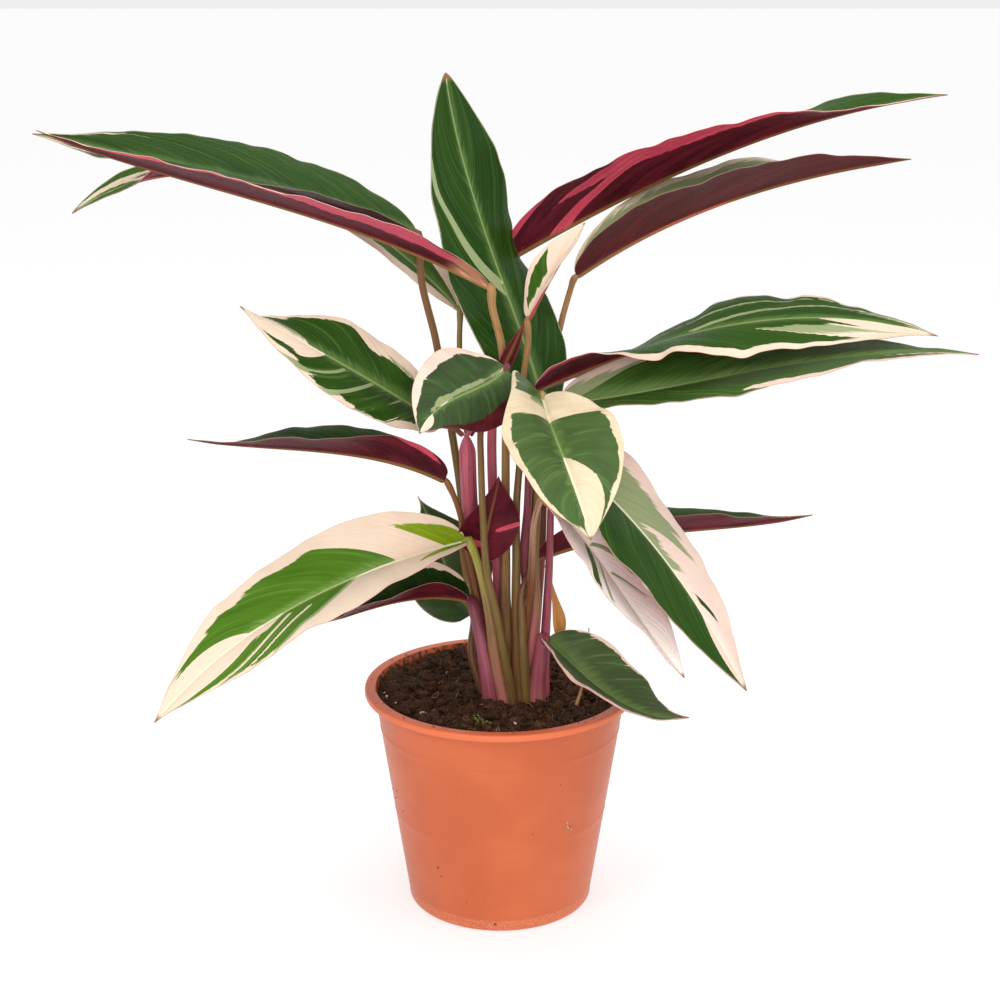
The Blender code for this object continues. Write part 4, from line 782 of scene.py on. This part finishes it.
def make_pot():
    neck = body_radius(POT_HEIGHT)

    def arc(cx, cz, radius, a0, a1, count):
        return [(cx + radius * math.cos(math.radians(a)), cz + radius * math.sin(math.radians(a))) for a in np.linspace(a0, a1, count)]

    R, H, S = RIM_RADIUS, POT_HEIGHT, RIM_SHEET
    wall = lambda z, out=0.0: (body_radius(z) + out, z)
    outer = [(neck - 0.5, H)]
    outer += [(neck + (R - 1.3 - neck) * k, H - 0.06 * math.sin(math.pi * k)) for k in (0.25, 0.5, 0.75)]
    outer += arc(R - 1.2, H - 1.2, 1.2, 90, 0, 7)
    outer += [(R, H - RIM_SKIRT + 0.4), (R - 0.15, H - RIM_SKIRT + 0.1), (R - 0.5, H - RIM_SKIRT)]
    outer += [(R - S, H - RIM_SKIRT), (R - S, H - S - 0.7), (R - S - 0.7, H - S - 0.05), (neck + 0.6, H - S - 0.1), wall(H - S - 0.6, 0.25)]
    outer += [wall(z) for z in (122, 118, 113, 108)]
    outer += [wall(LEDGE_HEIGHT + 1.0, 0.0), wall(LEDGE_HEIGHT + 0.4, 0.22), wall(LEDGE_HEIGHT, 0.28), wall(LEDGE_HEIGHT - 0.5, 0.0), wall(LEDGE_HEIGHT - 1.4, -0.10)]
    outer += [wall(z) for z in (98, 88, 78, 70, 62)]
    outer += [wall(55.6), wall(55.1, 0.14), wall(54.7, 0.16), wall(54.3, 0.12), wall(53.8)]
    outer += [wall(z) for z in (48, 38, 28, 18, 12, 9)]
    outer += [wall(7.9, 0.0), wall(7.5, -0.28), wall(7.0, -0.32), wall(6.2, -0.1)]
    outer += [(body_radius(4) - POT_CORNER + POT_CORNER * math.cos(a), POT_CORNER - POT_CORNER * math.sin(a)) for a in np.radians((10, 22, 34, 46, 58, 70, 80, 90))]
    outer += [(40.0, 0.0), (30.0, 0.0), (20.0, 0.0), (10.0, 0.0)]
    inner = [(10.0, POT_FLOOR), (20.0, POT_FLOOR), (30.0, POT_FLOOR), (40.0, POT_FLOOR), (body_radius(POT_FLOOR) - POT_WALL - 2.5, POT_FLOOR), (body_radius(3) - POT_WALL - 0.8, POT_FLOOR + 0.7), (body_radius(POT_FLOOR + 3) - POT_WALL, POT_FLOOR + 3)]
    inner += [(body_radius(z) - POT_WALL, z) for z in (20, 50, 80, LEDGE_HEIGHT - 1.2)]
    inner += [(body_radius(LEDGE_HEIGHT) - POT_WALL + 0.4, LEDGE_HEIGHT), (body_radius(115) - POT_WALL, 115), (neck - POT_WALL + 0.1, H - 0.8), (neck - 1.1, H - 0.2)]
    profile = np.array(inner + outer)
    sides = 192
    angle = np.linspace(0, 2 * math.pi, sides, endpoint=False)
    ring = np.stack([profile[:, 0:1] * np.cos(angle), profile[:, 0:1] * np.sin(angle), np.repeat(profile[:, 1:2], sides, 1)], -1)
    rows = len(profile)
    points = ring.reshape(-1, 3)
    quads = grid_faces(rows, sides, 0, wrap=True)
    k = np.arange(sides)
    centre = len(points)
    points = np.vstack([points, [[0, 0, POT_FLOOR], [0, 0, 0]]])
    caps = np.concatenate([np.stack([(k + 1) % sides, k, np.full(sides, centre)], -1), np.stack([(rows - 1) * sides + k, (rows - 1) * sides + (k + 1) % sides, np.full(sides, centre + 1)], -1)])
    pot = build("v_pot", points, quads, {}, pot_material(), tris=caps)
    work = bmesh.new()
    work.from_mesh(pot.data)
    bmesh.ops.recalc_face_normals(work, faces=work.faces)
    work.to_mesh(pot.data)
    work.free()
    holes = bmesh.new()
    for i in range(8):
        a = 2 * math.pi * (i + 0.5) / 8
        made = bmesh.ops.create_cone(holes, cap_ends=True, segments=32, radius1=3.5 * MM, radius2=3.5 * MM, depth=12 * MM)
        bmesh.ops.translate(holes, verts=made["verts"], vec=(38 * MM * math.cos(a), 38 * MM * math.sin(a), 0))
    mesh = bpy.data.meshes.new("holes")
    holes.to_mesh(mesh)
    holes.free()
    cutter = bpy.data.objects.new("holes", mesh)
    bpy.context.scene.collection.objects.link(cutter)
    cut = pot.modifiers.new("drain", "BOOLEAN")
    cut.operation, cut.solver, cut.object = "DIFFERENCE", "EXACT", cutter
    bpy.context.view_layer.update()
    evaluated = bpy.data.meshes.new_from_object(pot.evaluated_get(bpy.context.evaluated_depsgraph_get()))
    pot.modifiers.clear()
    pot.data = evaluated
    bpy.data.objects.remove(cutter, do_unlink=True)
    evaluated.polygons.foreach_set("use_smooth", np.ones(len(evaluated.polygons), bool))
    evaluated.set_sharp_from_angle(angle=math.radians(38))
    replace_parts(pot, "pot")
    return pot


# ---------------------------------------------------------------- soil
def soil_height(x, y):
    """Height of the soil surface in mm."""
    h = SOIL_TOP + 1.0
    far = np.hypot(x, y) / 66
    for scale, size in ((19.0, 2.0), (8.5, 2.6), (4.2, 2.4), (2.1, 1.2)):
        h += size * noise.noise(Vector((x / scale, y / scale, scale)))
    h += 2.8 * far ** 4 + 1.4 * (y / 66) ** 2
    return h


def soil_material():
    n = Nodes("peat")
    place = n.position()
    small = n.noise(place, 0.9, 4.0, 0.65)
    big = n.noise(place, 0.12, 3.0)
    # Darkest where the bump is lowest and lightest on its rises: the peat's own mottling, partly painted shade in the
    # hollows and painted highlight on the crumbs.
    colour = n.mix(n.step(small, 0.32, 0.7), (0.009, 0.004, 0.002), (0.100, 0.044, 0.019))
    colour = n.mix(n.mul(n.step(big, 0.45, 0.7), 0.7), colour, (0.135, 0.060, 0.026))
    colour = n.mix(n.mul(n.step(n.noise(place, 2.6, 1.0), 0.70, 0.78), 0.7), colour, (0.24, 0.13, 0.07))
    n.bump(small, 0.9, 0.0015)
    return n.finish(colour, n.add(n.mul(small, 0.3), 0.62), Specular_IOR_Level=0.15)


def make_soil(material):
    rings, spokes = 62, 220
    reach = body_radius(SOIL_TOP) - POT_WALL - 0.15
    angle = np.linspace(0, 2 * math.pi, spokes, endpoint=False)
    points = [(0.0, 0.0, soil_height(0.0, 0.0))]
    for k in range(1, rings + 1):
        rr = reach * k / rings
        for a in angle:
            x, y = rr * math.cos(a), rr * math.sin(a)
            points.append((x, y, min(soil_height(x, y), POT_HEIGHT - 2.2)))
    for z in (100.0, 60.0, 6.0, 2.4):
        rr = body_radius(z) - POT_WALL - (0.4 if z > 3 else 4)
        points += [(rr * math.cos(a), rr * math.sin(a), z) for a in angle]
    k = np.arange(spokes)
    tris = np.stack([np.zeros(spokes, int), 1 + k, 1 + (k + 1) % spokes], -1)
    quads = grid_faces(rings + 4, spokes, 1, wrap=True, flip=True)
    points.append((0, 0, 2.4))
    last = 1 + (rings + 3) * spokes
    tris = np.concatenate([tris, np.stack([last + (k + 1) % spokes, last + k, np.full(spokes, len(points) - 1)], -1)])
    soil = build("v_soil", points, quads, {}, material, tris=tris)
    work = bmesh.new()
    work.from_mesh(soil.data)
    bmesh.ops.recalc_face_normals(work, faces=work.faces)
    work.to_mesh(soil.data)
    work.free()
    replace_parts(soil, "soil")
    return soil


def crumb(rng, centre, size, squash=0.7):
    """A lump with an uneven surface, as vertices and triangles."""
    work = bmesh.new()
    bmesh.ops.create_icosphere(work, subdivisions=2 if size.max() > 1.6 else 1, radius=1)
    v = np.array([p.co for p in work.verts])
    f = np.array([[p.index for p in face.verts] for face in work.faces])
    work.free()
    v = v * (1 + 0.28 * np.sin(v @ rng.normal(size=3) * 3.1 + rng.uniform(0, 6))[:, None] + 0.2 * np.sin(v @ rng.normal(size=3) * 4.3)[:, None])
    q, _ = np.linalg.qr(rng.normal(size=(3, 3)))
    return (v * size) @ q.T * np.array([1, 1, squash]) + centre, f


def lumps(name, material, places, sizes, rng, squash=0.7):
    points, tris, total = [], [], 0
    for (x, y, z), size in zip(places, sizes):
        v, f = crumb(rng, np.array([x, y, z]), np.asarray(size, float), squash)
        points.append(v)
        tris.append(f + total)
        total += len(v)
    return build(name, np.vstack(points), np.zeros((0, 4)), {}, material, tris=np.vstack(tris))


def plain_material(name, first, second, scale, rough=0.7, bump=0.3):
    n = Nodes(name)
    place = n.position()
    a = n.noise(place, scale, 3.0)
    colour = n.mix(n.step(a, 0.35, 0.68), first, second)
    n.bump(a, bump, 0.0005)
    return n.finish(colour, n.add(n.mul(a, 0.2), rough - 0.1))


def threads(name, material, lines, radii, sides=5):
    points, quads, tris, total = [], [], [], 0
    for line, radius in zip(lines, radii):
        p, q, c, _ = tube(line, radius, sides)
        points.append(p)
        quads.append(q + total)
        tris.append(c + total)
        total += len(p)
    return build(name, np.vstack(points), np.vstack(quads), {}, material, tris=np.vstack(tris))


def dress_soil(soil_look):
    rng = np.random.default_rng(7)
    reach = body_radius(SOIL_TOP) - POT_WALL - 2.5
    taken = [in_pot((*s["root"], SOIL_TOP))[:2] for s in STALKS.values()]

    def spot(clear=2.5):
        while True:
            a, r = rng.uniform(0, 2 * math.pi), reach * math.sqrt(rng.uniform())
            x, y = r * math.cos(a), r * math.sin(a)
            if all(math.hypot(x - t[0], y - t[1]) > clear + 2 for t in taken):
                return x, y

    places, sizes = [], []
    for i in range(1050):
        x, y = spot()
        size = rng.uniform(0.7, 1.8) if i > 360 else rng.uniform(1.8, 4.2)
        if math.hypot(x, y) + size > reach + 1.5:
            continue
        places.append((x, y, min(soil_height(x, y) + 0.25 * size, POT_HEIGHT - 1.2 - 0.6 * size)))
        sizes.append(size * rng.uniform(0.6, 1.3, 3))
    crumbs = lumps("v_soil_crumbs", soil_look, places, sizes, rng)
    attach(crumbs, "root")

    lines, radii = [], []
    for i in range(230):
        x, y = spot(1.0)
        a = rng.uniform(0, 2 * math.pi)
        turn, steps, pace = rng.normal(0, 0.35), rng.integers(6, 13), rng.uniform(0.8, 1.7)
        line = []
        for k in range(steps):
            if math.hypot(x, y) > reach:
                break
            lift = 0.5 + 1.1 * math.sin(math.pi * k / steps) * rng.uniform(0.7, 1.2)
            line.append((x, y, min(soil_height(x, y) + lift, POT_HEIGHT - 0.6)))
            a += turn + rng.normal(0, 0.22)
            x, y = x + pace * math.cos(a), y + pace * math.sin(a)
        if len(line) < 5:
            continue
        lines.append(spline(line, 2 * len(line)))
        radii.append(np.linspace(1, 0.5, 2 * len(line)) * rng.uniform(0.10, 0.24))
    pale = len(lines) // 4
    fibres = threads("v_soil_fibres", plain_material("pale_fibre", (0.26, 0.14, 0.065), (0.52, 0.34, 0.19), 0.5), lines[:pale], radii[:pale])
    dark = threads("v_soil_fibres_dark", plain_material("dark_fibre", (0.06, 0.03, 0.015), (0.20, 0.10, 0.05), 0.6), lines[pale:], radii[pale:])
    for piece in (fibres, dark):
        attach(piece, "root")

    spots = [(-64, -6), (-62.5, -12), (-60, 2), (-57, -20), (-20, -34), (8, -50), (30, 34), (-30, 30), (48, -14), (-44, 26), (12, 44)]
    places = [(x, y, soil_height(x, y) + 0.8) for x, y in spots]
    bits = lumps("v_perlite", plain_material("perlite", (0.55, 0.48, 0.40), (0.80, 0.76, 0.68), 0.8), places, [rng.uniform(0.7, 1.4) * rng.uniform(0.8, 1.2, 3) for _ in places], rng)
    pebble = lumps("v_pebble", plain_material("pebble", (0.45, 0.27, 0.19), (0.66, 0.46, 0.36), 0.6), [(-41, -40, soil_height(-41, -40) + 1.4)], [np.array([2.2, 1.7, 1.8])], rng, 0.9)
    leaves = []
    for i in range(46):
        x, y = -8 + rng.normal(0, 4.2), -40 + rng.normal(0, 4.2)
        leaves.append((x, y, soil_height(x, y) + rng.uniform(0.4, 1.8)))
    moss = lumps("v_moss", plain_material("moss", (0.10, 0.12, 0.02), (0.26, 0.30, 0.07), 1.2), leaves, [rng.uniform(0.35, 0.8) * np.array([1.4, 0.7, 0.5]) for _ in leaves], rng, 1.0)
    for piece in (bits, pebble, moss):
        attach(piece, "root")


def dress_pot():
    """Specks of soil stuck to the wall and the rim, and a pale crumb on the right."""
    rng = np.random.default_rng(3)
    places, sizes = [], []
    for angle, z, size in ((-164, 70, 0.55), (-161, 66, 0.4), (-157, 72, 0.35), (-152, 62, 0.45), (-127, 36, 0.7), (-125, 31, 0.45), (-73, 62, 0.4), (-110, 18, 0.4), (-60, 90, 0.3), (-30, 80, 0.3), (40, 60, 0.5), (80, 95, 0.4), (120, 30, 0.5), (170, 88, 0.35), (-93, 5.5, 0.8)):
        a, r = math.radians(angle), body_radius(z) + 0.05
        places.append((r * math.cos(a), r * math.sin(a), z))
        sizes.append(size * rng.uniform(0.7, 1.3, 3))
    for i in range(60):
        a = rng.uniform(0, 2 * math.pi)
        r = rng.uniform(68.2, 73.8)
        size = rng.uniform(0.25, 0.7)
        places.append((r * math.cos(a), r * math.sin(a), POT_HEIGHT - 0.05))
        sizes.append(size * np.array([1.1, 0.9, 0.5]))
    dirt = lumps("v_dirt_specks", plain_material("dirt", (0.03, 0.014, 0.008), (0.12, 0.055, 0.028), 1.2), places, sizes, rng, 0.8)
    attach(dirt, "root")
    a = math.radians(-52)
    c = np.array([(body_radius(62) + 0.3) * math.cos(a), (body_radius(62) + 0.3) * math.sin(a), 62])
    t = np.array([-math.sin(a), math.cos(a), 0])
    up = np.array([0, 0, 1.0])
    lines = [spline([c - 1.2 * t + 3.2 * up, c - 1.4 * t + 0.6 * up, c - 0.2 * t - 1.0 * up], 8), spline([c - 0.8 * t - 0.8 * up, c + 1.2 * t - 1.6 * up, c + 2.6 * t - 1.2 * up], 8), spline([c + 0.8 * t - 1.4 * up, c + 1.6 * t - 2.4 * up], 5)]
    bit = threads("v_debris", plain_material("debris", (0.30, 0.17, 0.09), (0.62, 0.47, 0.30), 1.0), lines, [np.full(8, 0.35), np.full(8, 0.3), np.full(5, 0.3)], 6)
    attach(bit, "root")


# ---------------------------------------------------------------- studio
def studio():
    scene = bpy.context.scene
    world = bpy.data.worlds.new("studio")
    scene.world = world
    world.use_nodes = True
    world.node_tree.nodes["Background"].inputs[0].default_value = (1, 1, 1, 1)
    world.node_tree.nodes["Background"].inputs[1].default_value = 0.86
    mesh = bpy.data.meshes.new("floor")
    mesh.from_pydata([(-20, -20, 0), (20, -20, 0), (20, 20, 0), (-20, 20, 0)], [], [(0, 1, 2, 3)])
    floor = bpy.data.objects.new("floor", mesh)
    scene.collection.objects.link(floor)
    n = Nodes("floor")
    n.finish((0.52, 0.52, 0.52), 0.9, Specular_IOR_Level=0.0, Emission_Color=(1, 1, 1, 1), Emission_Strength=0.52)
    mesh.materials.append(n.material)
    floor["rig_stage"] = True

    def area(name, place, target, size, power):
        light = bpy.data.lights.new(name, "AREA")
        light.shape, light.size, light.energy = "DISK", size, power
        made = bpy.data.objects.new(name, light)
        made.location = place
        made.rotation_euler = (Vector(target) - Vector(place)).to_track_quat("-Z", "Y").to_euler()
        scene.collection.objects.link(made)

    area("key", (-1.1, -1.3, 1.5), (0, 0, 0.2), 0.8, 9)
    area("fill", (1.3, -0.9, 1.6), (0, 0, 0.2), 1.2, 5)
    area("top", (0.1, 0.3, 1.9), (0, 0, 0.2), 1.2, 5)
    area("front", (0.1, -1.6, 0.6), (0, 0, 0.25), 0.9, 10)

    camera = bpy.data.cameras.new("camera")
    camera.sensor_width, camera.lens = 36.0, 68.4
    made = bpy.data.objects.new("camera", camera)
    made.location = (0, -0.9881, 0.5134)
    made.rotation_euler = (math.radians(90 - 15.9), 0, 0)
    camera.clip_end = 100
    scene.collection.objects.link(made)
    scene.camera = made
    scene.view_settings.view_transform = "Standard"
    scene.view_settings.look = "None"
    scene.view_settings.exposure = 0.0


def main():
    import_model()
    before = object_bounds()
    material = leaf_material()
    for index, name in enumerate(LEAVES):
        leaf = make_leaf(name, index + 1, material, before)
        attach(leaf, "root")
    for index, (name, s) in enumerate(list(STALKS.items()) + list(BRANCHES.items())):
        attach(make_stalk(name, s, index + 1), "root")
    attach(make_pot(), "root")
    soil_look = soil_material()
    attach(make_soil(soil_look), "root")
    dress_soil(soil_look)
    dress_pot()
    studio()
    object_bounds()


main()
